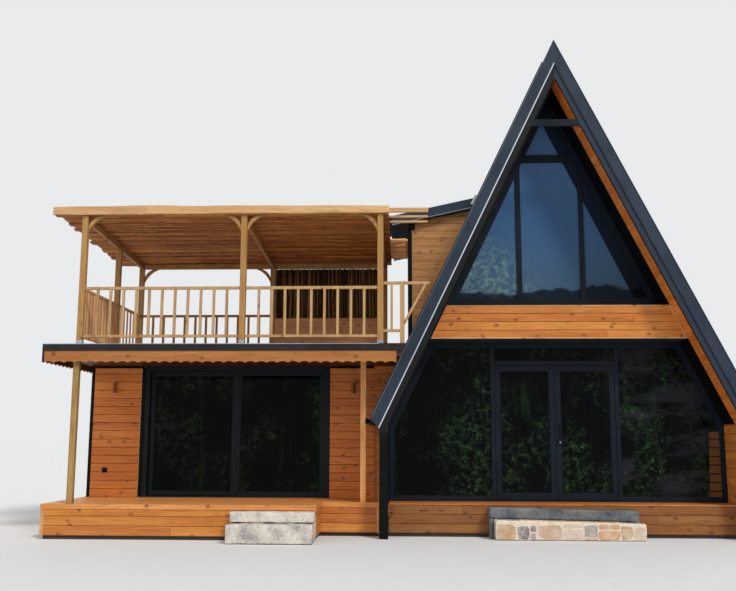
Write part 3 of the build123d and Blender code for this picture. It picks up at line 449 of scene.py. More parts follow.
# Dark boards under the terrace's slab: painted shade under it
UNDERSIDE_SHADED = wood("underside_boards_shaded", (96, 52, 26), (76, 40, 20), (48, 26, 14), 0.2, axis="x", pitch=0.12)
FASCIA = wood(
    "fascia_board", (182, 122, 66), (164, 102, 50), (114, 62, 26), 0.3, 0.5, axis="level",
    change=fascia_inner_shade,
)
RAKE = painted("rake_metal", (40, 51, 65), 0.4, grain=0.9, change=rake_bands)
ROOF = painted("roof_metal", (42, 54, 69), grain=0.8, cloud=0.86, dust=0.18, change=roof_trays)
FRAME = painted("dark_frame", (18, 27, 36), 0.36, grain=0.4, dust=0.12, shine=0.13)
HEADER = painted("header_sheet", (44, 56, 68), 0.5, grain=0.4, dust=0.12, shine=0.13)
SLIDER = painted("slider_frame", (29, 35, 39), 0.38, grain=0.4, dust=0.12, shine=0.11)
BLACK = painted("black_trim", (9, 10, 12), dust=0.15, shine=0.11)
EDGE = painted("edge_metal", (38, 35, 37), 0.4, shine=0.16)
BRONZE = painted("bronze", (156, 84, 42), 0.4)
PALE_METAL = painted("pale_metal", (150, 158, 168), 0.4, grain=0.4)
WHITE_METAL = painted("white_metal", (214, 219, 224), 0.4, grain=0.4)
STEEL = painted("bare_steel", (172, 176, 174), 0.36, metallic=0.8, grain=0.3)
# The glass's dark body, then its painted reflections: shrubs, the sky high and low, and trees
GLASS = glass("dark_glass", (3, 6, 6), (34, 54, 34), (60, 92, 132), (64, 88, 112), (114, 146, 142))
GRANITE = stone(
    "granite", (238, 230, 218), (206, 197, 185), (132, 130, 134), 4.5,
    ((186, 176, 164), (226, 217, 204)), 0.35,
)
SLATE = stone("grey_slab", (138, 142, 138), (104, 108, 108), (66, 68, 80), 3.2, relief=0.004)
RUBBLE_TONES = (
    (198, 160, 118), (112, 106, 120), (208, 172, 146), (164, 154, 154), (214, 158, 110), (218, 194, 172)
)
RUBBLE = stone(
    "rubble", (216, 204, 188), (186, 168, 148), (122, 106, 98), own_tones=RUBBLE_TONES, relief=0.01
)
MORTAR = stone("mortar", (236, 224, 206), (222, 206, 184), (186, 168, 146), 14.0, relief=0.01)
# The foundation is near black: painted shade in the gap under the plinth boards
CONCRETE = plaster("concrete", (58, 54, 50))
FROSTED = plaster("frosted", (244, 222, 196), 200.0, 0.05)
FELT = plaster("wall_felt", (46, 24, 12))
REED = reeds("reed", (226, 192, 132), (190, 148, 90), (118, 80, 42))
REED_DARK = reeds("reed_screen", (194, 160, 100), (114, 84, 48), (46, 31, 18))


# Mesh helpers
def rect(u0, u1, v0, v1):
    return [(u0, v0), (u1, v0), (u1, v1), (u0, v1)]


def inset(poly, dists):
    """A convex outline with each edge moved inwards by its own distance."""
    lines = []
    for (x0, y0), (x1, y1), dist in zip(poly, poly[1:] + poly[:1], dists):
        size = hypot(x1 - x0, y1 - y0)
        nx, ny = (y0 - y1) / size, (x1 - x0) / size
        lines.append((nx, ny, nx * x0 + ny * y0 + dist))
    out = []
    for i, b in enumerate(lines):
        a = lines[i - 1]
        det = a[0] * b[1] - a[1] * b[0]
        out.append(((a[2] * b[1] - b[2] * a[1]) / det, (a[0] * b[2] - b[0] * a[2]) / det))
    return out


class Stock:
    """Boards, bars, rods and stones that share one mesh. Each has its own grain offset and tone."""

    def __init__(self, seed):
        self.rng = Random(seed)
        self.verts, self.faces, self.uvs, self.tones = [], [], [], []

    def put(self, verts, faces, uvs, tone=None, shift=None):
        tone = self.rng.random() if tone is None else tone
        shift = shift or (self.rng.uniform(0, 40), self.rng.uniform(0, 40))
        base = len(self.verts)
        self.verts += [tuple(v) for v in verts]
        self.faces += [[base + i for i in face] for face in faces]
        self.uvs += [(u + shift[0], v + shift[1]) for u, v in uvs]
        self.tones += [tone] * len(verts)

    def skin(self, verts, uvs, sides, tone=None, shift=None, turn=0):
        """A closed form over rings of points. turn is the corner that each face starts from."""
        last = len(verts) - sides
        faces = [list(range(sides))[::-1], list(range(last, last + sides))]
        for a in range(0, last, sides):
            for i in range(sides):
                j = (i + 1) % sides
                face = [a + i, a + j, a + sides + j, a + sides + i]
                faces.append(face[turn:] + face[:turn])
        self.put(verts, faces, uvs, tone, shift)

    def slab(
        self, origin, eu, ev, poly, low, top, chamfer=0.002, edges=None, both=False, tone=None, shift=None
    ):
        """A flat piece over a convex outline, chamfered on its upper edges, or on both sides."""
        origin, eu, ev = Vector(origin), Vector(eu), Vector(ev)
        en = eu.cross(ev)
        inner = inset(poly, edges or [chamfer] * len(poly))
        levels = [(poly, low), (poly, top - chamfer), (inner, top)]
        if both:
            levels[:1] = [(inner, low), (poly, low + chamfer)]
        verts = [origin + eu * u + ev * v + en * level for ring, level in levels for u, v in ring]
        uvs = [(u, v + 0.7 * level) for ring, level in levels for u, v in ring]
        self.skin(verts, uvs, len(poly), tone, shift)

    def bar(self, start, end, wide, high, up=Z, chamfer=0.002):
        """A chamfered bar between two points."""
        run = Vector(end) - Vector(start)
        eu = run.normalized()
        ev = Vector(up).cross(eu).normalized()
        poly = rect(0, run.length, -wide / 2, wide / 2)
        self.slab(start, eu, ev, poly, -high / 2, high / 2, chamfer, both=True)

    def beam(self, x, y, z, wide, high, **more):
        """A bar along the axis whose limits are a pair. An upright one is wide along Y and high along X."""
        ends = [[c[k] if isinstance(c, tuple) else c for c in (x, y, z)] for k in (0, 1)]
        if isinstance(z, tuple):
            more.setdefault("up", X)
        self.bar(*ends, wide, high, **more)

    def rod(self, points, radius, sides=6, tone=None):
        """A round rod through the points."""
        points = [Vector(p) for p in points]
        verts, uvs, length = [], [], 0.0
        side = (points[1] - points[0]).normalized().orthogonal().normalized()
        for k, point in enumerate(points):
            ahead = (points[min(k + 1, len(points) - 1)] - points[max(k - 1, 0)]).normalized()
            side = (side - ahead * side.dot(ahead)).normalized()
            other = ahead.cross(side)
            if k:
                length += (point - points[k - 1]).length
            for i in range(sides):
                turn = tau * i / sides
                verts.append(point + side * (radius * cos(turn)) + other * (radius * sin(turn)))
                uvs.append((length, radius * turn))
        self.skin(verts, uvs, sides, tone)

    def make(self, name, material, slot, body="cabin", replaces=(), smooth=False):
        mesh = bpy.data.meshes.new(name)
        mesh.from_pydata(self.verts, [], self.faces)
        spread = [c for loop in mesh.loops for c in self.uvs[loop.vertex_index]]
        mesh.uv_layers.new(name="UVMap").data.foreach_set("uv", spread)
        mesh.attributes.new("tone", "FLOAT", "POINT").data.foreach_set("value", self.tones)
        mesh.materials.append(material)
        if smooth:
            mesh.shade_smooth()
        obj = placed(name, mesh)
        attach(obj, body)
        if replaces:
            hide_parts(*replaces)


# Which way the boards of a wall run: the sign and the axis
FACING = {"front": (1, 0), "back": (-1, 0), "right": (1, 1), "left": (-1, 1)}

# Half a gap and the width of the chamfer, each along a board and at its ends, and a board's least length
GAPS = (0.0022, 0.0006)
BEVELS = (0.007, 0.001)
SHORTEST = 0.01


def clad(
    stock, facing, place, z, left, right, holes=(), thick=0.01, pitch=0.135, butt=3.4, groove=1.0, backed=True
):
    """Horizontal boards over a wall face at one place on X or Y, between two heights.

    left and right are the wall's ends, or say where they are at a height.
    holes are x or y limits and z limits.
    groove scales the joints between the boards, and felt shows in them where the wall is backed.
    """
    sign, axis = FACING[facing]
    eu, origin = Vector(), Vector()
    eu[axis], origin[1 - axis] = sign, place
    rng = stock.rng

    def limits(height):
        return [sign * (end(height) if callable(end) else end) for end in (left, right)[::sign]]

    cut = [(*sorted((sign * a, sign * b)), c, d) for a, b, c, d in holes]
    rows = max(1, round((z[1] - z[0]) / pitch))
    step = (z[1] - z[0]) / rows
    for row in range(rows):
        low, top = z[0] + row * step, z[0] + (row + 1) * step
        levels = sorted({low, top} | {h for c in cut for h in c[2:] if low + 0.002 < h < top - 0.002})
        ends = []
        spot, stop = limits(low)
        spot += rng.uniform(0.6, butt)
        while spot < stop - 0.3:
            ends.append(spot)
            spot += rng.uniform(0.7 * butt, butt)
        looks = [(rng.random(), (rng.uniform(0, 40), rng.uniform(0, 40))) for _ in range(len(ends) + 1)]
        for bottom, upper in zip(levels, levels[1:]):
            spans = [tuple(zip(limits(bottom), limits(upper)))]
            middle = (bottom + upper) / 2
            breaks = [c[:2] for c in cut if c[2] < middle < c[3]] + [(e, e) for e in ends]
            for start_u, end_u in breaks:
                parts = []
                for a, b in spans:
                    if end_u <= min(a) or start_u >= max(b):
                        parts.append((a, b))
                        continue
                    if start_u - max(a) > SHORTEST:
                        parts.append((a, (start_u, start_u)))
                    if min(b) - end_u > SHORTEST:
                        parts.append(((end_u, end_u), b))
                spans = parts
            for a, b in spans:
                short_foot, short_top = (b[k] - a[k] < SHORTEST for k in (0, 1))
                if short_foot and short_top:
                    continue
                poly = [(a[0], bottom), (b[0], bottom), (b[1], upper), (a[1], upper)]
                if backed:
                    felt.slab(origin, eu, Z, poly, -0.001, 0.0015, 0.0)
                # How much of a joint lies along each edge, or None at an end
                shares = [groove * (bottom == low), None, groove * (upper == top), None]
                if short_top:
                    poly[2:] = [((a[1] + b[1]) / 2, upper)]
                    shares[2:] = [None]
                elif short_foot:
                    poly[:2] = [((a[0] + b[0]) / 2, bottom)]
                    shares = shares[1:]
                gap, edge = (
                    [end if share is None else share * full for share in shares]
                    for full, end in (GAPS, BEVELS)
                )
                tone, shift = looks[sum(1 for e in ends if e < (a[0] + b[0]) / 2)]
                stock.slab(origin, eu, Z, inset(poly, gap), 0.0, thick, 0.006, edge, tone=tone, shift=shift)


def walls(seed, name, material, faces, slot="cladding", **common):
    """A piece of boards over some wall faces. A face may end with settings of its own."""
    boards = Stock(seed)
    for facing, place, z, left, right, *own in faces:
        clad(boards, facing, place, z, left, right, **common, **dict(*own))
    boards.make(name, material, slot)


def roof_x(apex, back, side=1):
    """Tells where a roof plane is at a height, moved back from it, right or left of the middle."""
    return lambda height: side * (SLOPE * (apex - height) - back)


def roof_ways(side):
    """Directions down a roof plane and out of it, right or left of the middle."""
    return Vector((side * SLOPE, 0, -1)) / STEEP, Vector((side, 0, SLOPE)) / STEEP


def held(value, low, high):
    return min(max(value, low), high)


# Camera
scene.view_settings.view_transform = "Standard"
pitch, yaw, roll = 0.160706, -0.041418, 0.003204
ahead = Vector((sin(yaw) * cos(pitch), cos(yaw) * cos(pitch), sin(pitch)))
level = Vector((cos(yaw), -sin(yaw), 0))
rise = level.cross(ahead)
across = level * cos(roll) + rise * sin(roll)
upward = rise * cos(roll) - level * sin(roll)
camera = placed("camera", bpy.data.cameras.new("camera"))
columns = (across, upward, -ahead, Vector((-2.3857, -18.1216, 1.3970)))
camera.matrix_world = Matrix([[column[i] for column in columns] for i in range(3)] + [[0, 0, 0, 1]])
camera.data.lens = 44.71
camera.data.sensor_width = 36
camera.data.clip_end = 1500
scene.camera = camera

# Finishes of the CAD nodes, and how far their edges are eased where they are seen near to
for material, width, names in (
    (CONCRETE, 0, "foundation"),
    (FLOORING, 0, "cabin_floor deck"),
    (CLAD, 0, "plinth_cladding"),
    (LINING, 0, "side_wall_right side_wall_left rear_wall spandrel loft_floor wing_front_wall"),
    (LINING, 0, "wing_end_wall wing_rear_wall dormer_end_walls dormer_side_wall"),
    (CLAD_WARM, 0, "soffit"),
    (BLACK, 0.0025, "corner_posts"),
    (ROOF, 0, "roof_left roof_right ridge_cap dormer_roof"),
    (ROOF, 0.0025, "eave_gutters"),
    (RAKE, 0.0025, "rake_left rake_right"),
    (EDGE, 0.0025, "terrace_edge"),
    (UNDERSIDE_SHADED, 0, "terrace_slab"),
    (FASCIA, 0.0025, "terrace_fascia"),
    (FRAME, 0.0025, "collar_tie upper_window_frame front_frame_left front_frame_right door_head"),
    (FRAME, 0.0025, "door_leaf_left door_leaf_right window_frames"),
    (FRAME, 0, "door_handle"),
    (SLIDER, 0.0025, "slider_frame slider_leaf"),
    (GLASS, 0, "door_glass_left door_glass_right slider_glass fixed_glass window_glass"),
    (PORCH_POST, 0.005, "porch_posts"),
    (TIMBER_Z, 0.005, "pergola_posts railing_rear"),
    (TIMBER_Y, 0.005, "pergola_rafters"),
    (TIMBER_X, 0.005, "pergola_braces"),
    (TIMBER_X, 0, "roof_edge_boards"),
    (RAILING, 0.005, "railing_front"),
    (FENCE_LIT, 0.005, "railing_side"),
    (RED_BOARD, 0, "low_wall"),
    (REED, 0, "reed_roof"),
    (REED_DARK, 0, "reed_screen"),
    (GRANITE, 0, "wing_steps"),
    (SLATE, 0, "cabin_steps"),
    (BRONZE, 0, "wall_lamps"),
):
    for name in names.split():
        for place in nodes[name].material_slots:
            place.material = material
        if width:
            nodes[name].modifiers.new("weld", "WELD").merge_threshold = 0.0001
            ease = nodes[name].modifiers.new("ease", "BEVEL")
            ease.width = width
            ease.segments = 1
            ease.limit_method = "ANGLE"
            ease.angle_limit = 0.9

# Cladding of the walls, with felt behind its joints
felt = Stock(10)
walls(11, "cabin_plinth_boards", CLAD_SHADED, [
    ("front", PLINTH_Y, PLINTH_Z, -WALL_IN, WALL_IN),
    ("back", -PLINTH_Y, PLINTH_Z, -WALL_IN, WALL_IN),
], pitch=0.14)
walls(12, "wing_plinth_boards", CLAD, [
    ("front", PORCH_Y, PLINTH_Z, WING_X, PORCH_X),
    ("left", WING_X, PLINTH_Z, PORCH_Y, WING_BACK),
    ("back", WING_BACK, PLINTH_Z, WING_X, -2.79),
    ("right", PORCH_X, PLINTH_Z, PORCH_Y, PLINTH_Y),
    ("front", PLINTH_Y, PLINTH_Z, -3.696, -2.79),
], pitch=0.14)
under_soffit = [roof_x(SOFFIT_APEX, 0.002, side) for side in (-1, 1)]
walls(13, "spandrel_boards", CLAD, [("front", PLINTH_Y, (3.033, 3.560), *under_soffit)], butt=9)


def wing_edge(height):
    """Where the wing's boards meet the A-frame: at its wall, and higher up at its roof."""
    return -min(2.904, SLOPE * (RIDGE - height)) - 0.004


walls(14, "wing_front_boards", CLAD_WARM, [
    ("front", WING_Y, WING_Z, -7.695, -6.83),
    ("front", WING_Y, WING_Z, -3.66, wing_edge),
])

# Outer faces of the A-frame's low walls, and the inner faces that its overhangs leave open
LOW_FOOT, LOW_TOP = 0.056, 1.468
INNER_Z = (BOARD_FOOT, 1.7)
walls(16, "low_wall_boards_of_frame", CLAD, [
    ("right", WALL_OUT, (LOW_FOOT, LOW_TOP), -WALL_END, WALL_END),
    ("left", -WALL_OUT, (BOARD_FOOT, LOW_TOP), -WALL_END, -2.652),
    ("left", -WALL_OUT, PLINTH_Z, -WALL_END, -3.772, {"pitch": 0.14}),
    ("left", -WALL_OUT, (LOW_FOOT, LOW_TOP), 1.012, WALL_END),
    ("left", WALL_IN, INNER_Z, -WALL_END, GLAZING_Y - 0.002, {"thick": 0.008}),
    ("left", WALL_IN, INNER_Z, 0.002 - GLAZING_Y, WALL_END, {"thick": 0.008}),
    ("right", -WALL_IN, INNER_Z, 0.002 - GLAZING_Y, WALL_END, {"thick": 0.008}),
])
walls(17, "rear_gable_boards", CLAD, [
    ("back", -GLAZING_Y, (BOARD_FOOT, 1.706), -WALL_IN, WALL_IN),
    ("back", -GLAZING_Y, (1.706, 7.16), *under_soffit),
], holes=[(-0.9, 0.9, 1.35, 2.45), (-0.45, 0.45, 4.0, 5.0)])
walls(15, "wing_side_boards", CLAD, [
    ("left", WING_X, WING_Z, -2.595, 0.998, {"holes": [(-1.425, -0.225, 1.4, 2.3)]}),
    ("back", WING_BACK, WING_Z, -7.748, wing_edge, {"holes": [(-5.869, -4.669, 1.4, 2.3)]}),
])


def dormer_x(height):
    """Where the boards of the dormer's ends meet its own roof."""
    return DORMER_X + (height - DORMER_EAVE) / DORMER_RISE


roof_side = roof_x(RIDGE, -0.003, -1)
DORMER_LOW, DORMER_HIGH = (3.032, 5.176), (5.178, 5.428)
walls(18, "dormer_boards", CLAD_PALE, [
    ("front", -2.6, DORMER_LOW, DORMER_X + 0.055, roof_side),
    ("front", -2.6, DORMER_HIGH, dormer_x, roof_side, {"pitch": 0.125}),
    ("back", 0.2, DORMER_LOW, DORMER_X, roof_side),
    ("back", 0.2, DORMER_HIGH, dormer_x, roof_side, {"pitch": 0.125}),
    ("left", DORMER_X, (3.03, 5.176), -2.6, 0.2, {"holes": [(-1.65, -0.75, 3.4, 4.9)]}),
], groove=0.45)

# Battens round the spandrel and in the corners of the wing and the dormer
trims = Stock(9)
for z in (3.0405, 3.5525):
    half = roof_x(SOFFIT_APEX, 0.012)(z)
    trims.beam((-half, half), PLINTH_Y - 0.007, z, 0.014, 0.018)
for side in (1, -1):
    ends = [(roof_x(SOFFIT_APEX, 0.016, side)(z), PLINTH_Y - 0.007, z) for z in (3.045, 3.55)]
    trims.bar(*ends, 0.014, 0.026, up=X)
trims.beam(-6.884, -2.657, (0.504, 2.655), 0.014, 0.016)
trims.beam(-2.263, -2.609, (3.034, 5.11), 0.018, 0.012)

# Soffits: short boards from front to back outside the gables, and dark sheets over the glazing
boards, sheets = Stock(19), Stock(20)
top_of_soffit = Vector((0, 0, SOFFIT_APEX))
reach = (SOFFIT_APEX - 1.71) * STEEP
rows = round(reach / 0.105)
for side in (1, -1):
    down, out = roof_ways(side)
    for near, far in ((-WALL_END, PLINTH_Y), (3.295, WALL_END)):
        lane = sorted((-side * near, -side * far))
        for row in range(rows):
            low, top = (0.03 + (reach - 0.03) * k / rows for k in (row, row + 1))
            boards.slab(
                top_of_soffit + down * (low if side > 0 else top), (0, -side, 0), down * side,
                rect(*lane, 0.001, top - low - 0.001), 0.0, 0.006, 0.003, [0.003, 0.0008] * 2,
            )
    lane = sorted((-side * PLINTH_Y, -side * GLAZING_Y))
    sheets.slab(top_of_soffit, down, (0, -side, 0), rect(0.03, reach, *lane), 0.0, 0.004, 0.001)
    # Dark bars along the inner edge of each rake, front and back; the left side gets a second, wider bar as
    # painted shade
    for y in (-4.1515, 4.1515):
        for begin, lift, high in ((0.04, 0.006, 0.013), (0.08, 0.018, 0.026))[: 1 if side > 0 else 2]:
            top = Vector((0, y, SOFFIT_APEX)) - out * lift
            sheets.bar(top + down * begin, top + down * reach, 0.012, high, -out)
boards.make("soffit_boards", CLAD_WARM, "cladding")

header = Stock(44)
half = roof_x(SOFFIT_APEX, 0.006)(3.031)
poly = rect(-half, half, -PLINTH_Y - 0.48, -PLINTH_Y)
header.slab((0, 0, 3.031), X, (0, -1, 0), poly, 0.0, 0.003, 0.001)
header.make("header_sheet", HEADER, "dark_frame")

# Dark sheets: sill of the upper window, the dormer's eave and front corner, painted shade on the porch side
# of the A-frame's left wall, and strips round the wing's front
half = roof_x(SOFFIT_APEX, 0.006)(3.562)
sheets.slab((0, 0, 3.562), X, Y, rect(-half, half, PLINTH_Y - 0.014, GLAZING_Y), 0.0, 0.006, 0.002)
sheets.slab(
    (-2.6155, 0, DORMER_EAVE - DORMER_RISE * 0.305), Vector((1, 0, DORMER_RISE)).normalized(), (0, -1, 0),
    rect(0.0, 0.3, -0.34, 2.74), -0.001, 0.004, 0.001,
)
sheets.slab((-2.274, -2.6, 5.122), X, Z, rect(-0.056, 0.056, -0.056, 0.056), 0.0, 0.03, 0.004)
sheets.beam(-2.307, -2.608, (3.034, 5.07), 0.016, 0.072)
sheets.beam(-2.329, -2.612, (3.034, 4.78), 0.012, 0.028)
for outline in (
    [(-2.6155, 4.85), (-2.348, 4.85), (-2.348, 5.17), (-2.6155, 5.11)],
    rect(-2.668, -2.616, 4.912, 5.27),
):
    sheets.slab((0, -2.752, 0), X, Z, outline, 0.0, 0.008, 0.002)
# Painted shade: a black sheet on the porch side of the left wall, where the right wall has boards
sheets.slab((-WALL_IN, 0, 0), Y, Z, rect(-WALL_END, GLAZING_Y - 0.002, *INNER_Z), 0.0, 0.008, 0.001)
sheets.beam((-7.69, -6.835), -2.656, 2.676, 0.012, 0.042)
sheets.beam((-3.655, -2.915), -2.656, 2.676, 0.012, 0.042)
sheets.beam(-6.853, -2.659, (0.504, 2.655), 0.018, 0.046)
sheets.make("reveal_sheets", BLACK, "dark_frame")


# Floor boards of the porch and of the terrace
def lay(stock, x, y, z, pitch=0.12):
    """Boards that run along X on a floor."""
    rows = max(1, round((y[1] - y[0]) / pitch))
    step = (y[1] - y[0]) / rows
    longest, gap, end_gap = 3.2, 0.0015, 0.0008
    for row in range(rows):
        low, top = y[0] + row * step + gap, y[0] + (row + 1) * step - gap
        ends = [x[0]]
        while x[1] - ends[-1] > longest:
            ends.append(ends[-1] + stock.rng.uniform(0.45, 0.95) * longest)
        ends.append(x[1])
        for u0, u1 in zip(ends, ends[1:]):
            stock.slab((0, 0, z), X, Y, rect(u0 + end_gap, u1 - end_gap, low, top), -0.002, 0.006, 0.003)


boards = Stock(21)
lay(boards, (-7.765, -3.69), (-4.545, -3.785), FLOOR)
lay(boards, (-7.765, -2.79), (-3.785, -2.652), FLOOR)
for start_at, end_at in (
    ((-7.766, -4.5455), (-3.69, -4.5455)),
    ((-7.7655, 1.0), (-7.7655, -4.546)),
    ((-3.6895, -4.546), (-3.6895, -3.785)),
    ((-3.69, -3.7855), (-2.79, -3.7855)),
):
    boards.bar((*start_at, 0.4705), (*end_at, 0.4705), 0.011, 0.071, chamfer=0.003)
for x, y in ((-7.738, -4.5415), (-3.717, -4.5415), (-2.81, -3.7815)):
    trims.beam(x, y, (0.055, 0.434), 0.01, 0.05, chamfer=0.003)
trims.make("trim_battens", TIMBER, "cladding")
boards.make("porch_floor_boards", NOSING, "cladding")
boards = Stock(22)
lay(boards, (-7.798, -2.392), (-4.458, 1.048), 2.865, pitch=0.14)
boards.make("terrace_floor_boards", TIMBER, "pale_timber")
felt.make("wall_felt", FELT, "cladding")


# Standing seams of the roofs, and the drip edge and flashing of the dormer's
def dormer_top(x, lift):
    """A height above the dormer's roof."""
    return DORMER_EAVE + 0.17 + DORMER_RISE * (x - DORMER_X) + lift


seams = Stock(23)
for side in (1, -1):
    out = roof_ways(side)[1]
    for index in range(17):
        y = SEAM_FIRST + index * SEAM_PITCH
        runs = [(0.165, 2.9)]
        if side < 0:
            if -2.75 < y < 0.35:
                runs = [(0.165, 1.05)]
            elif y < 1.15:
                runs = [(0.165, 2.383)]
            if y < -2.66:
                runs.append((2.474, 2.9))
        for run in runs:
            ends = [Vector((side * x, y, RIDGE - x / SLOPE)) + out * 0.011 for x in run]
            seams.bar(*ends, 0.009, 0.022, up=out)
for index in range(6):
    seams.bar(*[(x, -2.68 + index * 0.592, dormer_top(x, 0.01)) for x in (-2.617, -1.062)], 0.009, 0.02)
seams.make("roof_seams", ROOF, "roof_metal")
drip = Stock(26)
drip.bar(*[(x, -2.755, dormer_top(x, -0.16)) for x in (-2.612, -1.2)], 0.008, 0.014)
drip.make("dormer_drip_edge", PALE_METAL, "roof_metal")
flashing = Stock(40)
down, out = roof_ways(-1)
flashing.slab(
    (-SLOPE * (RIDGE - 5.43), -2.764, 5.43), -down, out,
    [(0.0, 0.002), (0.19, 0.002), (0.18, 0.125), (0.0, 0.125)], -0.002, 0.002, 0.001,
)
flashing.make("dormer_flashing", WHITE_METAL, "roof_metal")

# Gutter straps, and strips on the terrace's edge. The front strap of the left eave is bright
straps, bright, pale_line, corner = Stock(24), Stock(25), Stock(27), Stock(28)
for side in (1, -1):
    for index in range(11):
        y = -4.15 + index * 0.826
        if side < 0 and -2.66 < y < 1.02:
            continue
        where = bright if side < 0 and index == 0 else straps
        where.bar((side * 2.88, y, 1.797), (side * 2.997, y, 1.789), 0.022, 0.003, chamfer=0.001)
        where.beam(side * 2.998, y, (1.79, 1.745), 0.022, 0.003, chamfer=0.001)
low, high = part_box("terrace_edge")
pale_line.beam((low[0], -2.78), low[1] + 0.001, high[2] - 0.006, 0.006, 0.011)
pale_line.beam(low[0] + 0.0035, (low[1], 1.0), high[2] - 0.006, 0.006, 0.011)
straps.beam(-5.551, low[1], (low[2] + 0.004, high[2] - 0.002), 0.004, 0.008)
pale_line.make("terrace_edge_line", PALE_METAL, "roof_metal")
corner.beam(low[0] + 0.0155, low[1] + 0.006, (2.6, 2.77), 0.01, 0.03)
corner.make("terrace_corner_strip", EDGE, "dark_frame")
straps.make("gutter_straps", ROOF, "roof_metal")
bright.make("gutter_strap_bright", STEEL, "handle_metal")


# Pergola roof: live-edged slab boards below, reed on top
def pergola_z(y):
    """Underside of the pergola's roof."""
    return PERGOLA_Z + FALL * (y - PERGOLA_Y)


def live_board(stock, x0, x1, y_mid, width, lift):
    """A board sawn from a log, with both edges left as they grew, under the pergola's roof."""
    rng = stock.rng
    wave, thick, slant = 0.02, 0.02, 0.008
    count = max(3, round((x1 - x0) / 0.09))
    a, b, c, d = (rng.uniform(0, 60) for _ in range(4))
    verts, uvs = [], []
    for k in range(count + 1):
        t = x0 + (x1 - x0) * k / count
        near = noise.noise((t * 1.9, a, b)) + 0.4 * noise.noise((t * 7, a, c))
        far = noise.noise((t * 1.7, c, d)) + 0.4 * noise.noise((t * 6, d, b))
        near, far = y_mid - width / 2 - wave * near, y_mid + width / 2 + wave * far
        for y, rise in ((near, 0.0), (far, 0.0), (far + slant, thick), (near - slant, thick)):
            verts.append((t, y, pergola_z(y) + 0.003 + lift + rise))
            uvs.append((t, y + rise))
    stock.skin(verts, uvs, 4, turn=1)


slabs, lit_slivers, slats = Stock(31), Stock(30), Stock(29)
rows = 25
for row in range(rows):
    y = PERGOLA_Y + row * (3.21 / (rows - 1))
    rng = slabs.rng
    lift = rng.uniform(0.0, 0.01) + (0.018 if row % 2 else 0.0)
    ends = [-7.86 + rng.uniform(0.005, 0.13), rng.uniform(-6.6, -5.4), rng.uniform(-4.6, -3.6), -2.64]
    for x0, x1 in zip(ends, ends[1:]):
        live_board(slabs, x0, x1 - 0.003, y, rng.uniform(0.115, 0.15), lift)
    # Pale slivers along the board edges: painted highlights where sun catches them
    rng = lit_slivers.rng
    for _ in range(rng.randint(5, 9)):
        x = rng.uniform(-7.7, -3.4)
        size = rng.uniform(0.15, 0.7)
        level = pergola_z(y) + 0.001
        side = y + rng.choice((-0.06, 0.06)) + rng.uniform(-0.01, 0.01)
        lit_slivers.bar(
            (x, side, level + 0.002), (x + size, side + rng.uniform(-0.012, 0.012), level + 0.003),
            rng.uniform(0.008, 0.02), 0.004, chamfer=0.001,
        )
slabs.make("pergola_slab_boards", BARK, "pale_timber", replaces=["reed_roof"])
lit_slivers.make("pergola_slab_edge_highlights", TIMBER, "pale_timber")
for index in range(14):
    y = -2.865 + index * 0.0945
    line = []
    for k in range(4):
        side = y + slats.rng.uniform(-0.012, 0.012)
        line.append((-2.637 + 0.263 * k / 3, side, pergola_z(y) + 0.026 + slats.rng.uniform(-0.005, 0.005)))
    slats.rod(line, slats.rng.uniform(0.017, 0.023), 9)
slats.bar(*[(-2.3605, y, pergola_z(y) + 0.016) for y in (-2.885, -1.605)], 0.028, 0.03)
slats.make("reed_side_slats", SLAT_LIT, "pale_timber")

thatch = Stock(32)
tilt = Vector((0, 1, FALL)).normalized()
front = (0, PERGOLA_Y, PERGOLA_Z)
thatch.slab(front, X, tilt, rect(-7.83, -2.65, -0.04, 3.24), 0.052, 0.078, 0.004, tone=0.25)
rng = thatch.rng
count = 400
for index in range(count):
    x = held(-7.835 + 5.19 * (index + rng.uniform(-0.3, 0.3)) / (count - 1), -7.845, -2.645)
    drift = rng.uniform(-0.02, 0.02)
    size = rng.uniform(0.005, 0.0085)
    lift = rng.uniform(0.081, 0.095)
    y0, y1 = -4.452 + rng.uniform(0, 0.03), -1.155 - rng.uniform(0, 0.09)
    line = []
    for k in range(4):
        y = y0 + (y1 - y0) * k / 3
        side = held(x + drift * (k / 3 - 0.5) + rng.uniform(-0.004, 0.004), -7.85, -2.64)
        line.append((side, y, pergola_z(y) + lift + rng.uniform(-0.003, 0.003)))
    thatch.rod(line, size, 5)
thatch.make("reed_thatch", REED, "reed", smooth=True)


# Front edge of the pergola's roof: two rough boards, and the three boards that carry on to the right
def edge_board(stock, x0, x1, low, high, wave, taper=0.0):
    """An upright board with a rough upper and lower edge, lower by taper at its right end."""
    front, back = -4.5, -4.465
    count = max(3, round((x1 - x0) / 0.08))
    a, b = stock.rng.uniform(0, 60), stock.rng.uniform(0, 60)
    verts, uvs = [], []
    for k in range(count + 1):
        t = x0 + (x1 - x0) * k / count
        down = low + wave * (0.5 + noise.noise((t * 2.1, a, 1)) + 0.35 * noise.noise((t * 8, a, 5)))
        up = high - wave * (0.5 + noise.noise((t * 1.6, b, 2)) + 0.35 * noise.noise((t * 9, b, 4)))
        up -= taper * k / count
        face = front + abs(0.003 * noise.noise((t * 1.3, b, 8)))
        for side, rise in ((0.004, down), (0.0, down + 0.012), (0.0, up - 0.012), (0.005, up)):
            verts.append((t, face + side, rise))
            uvs.append((t, rise))
        for rise in (up, down):
            verts.append((t, back, rise))
            uvs.append((t, rise + 0.05))
    stock.skin(verts, uvs, 6, turn=1)


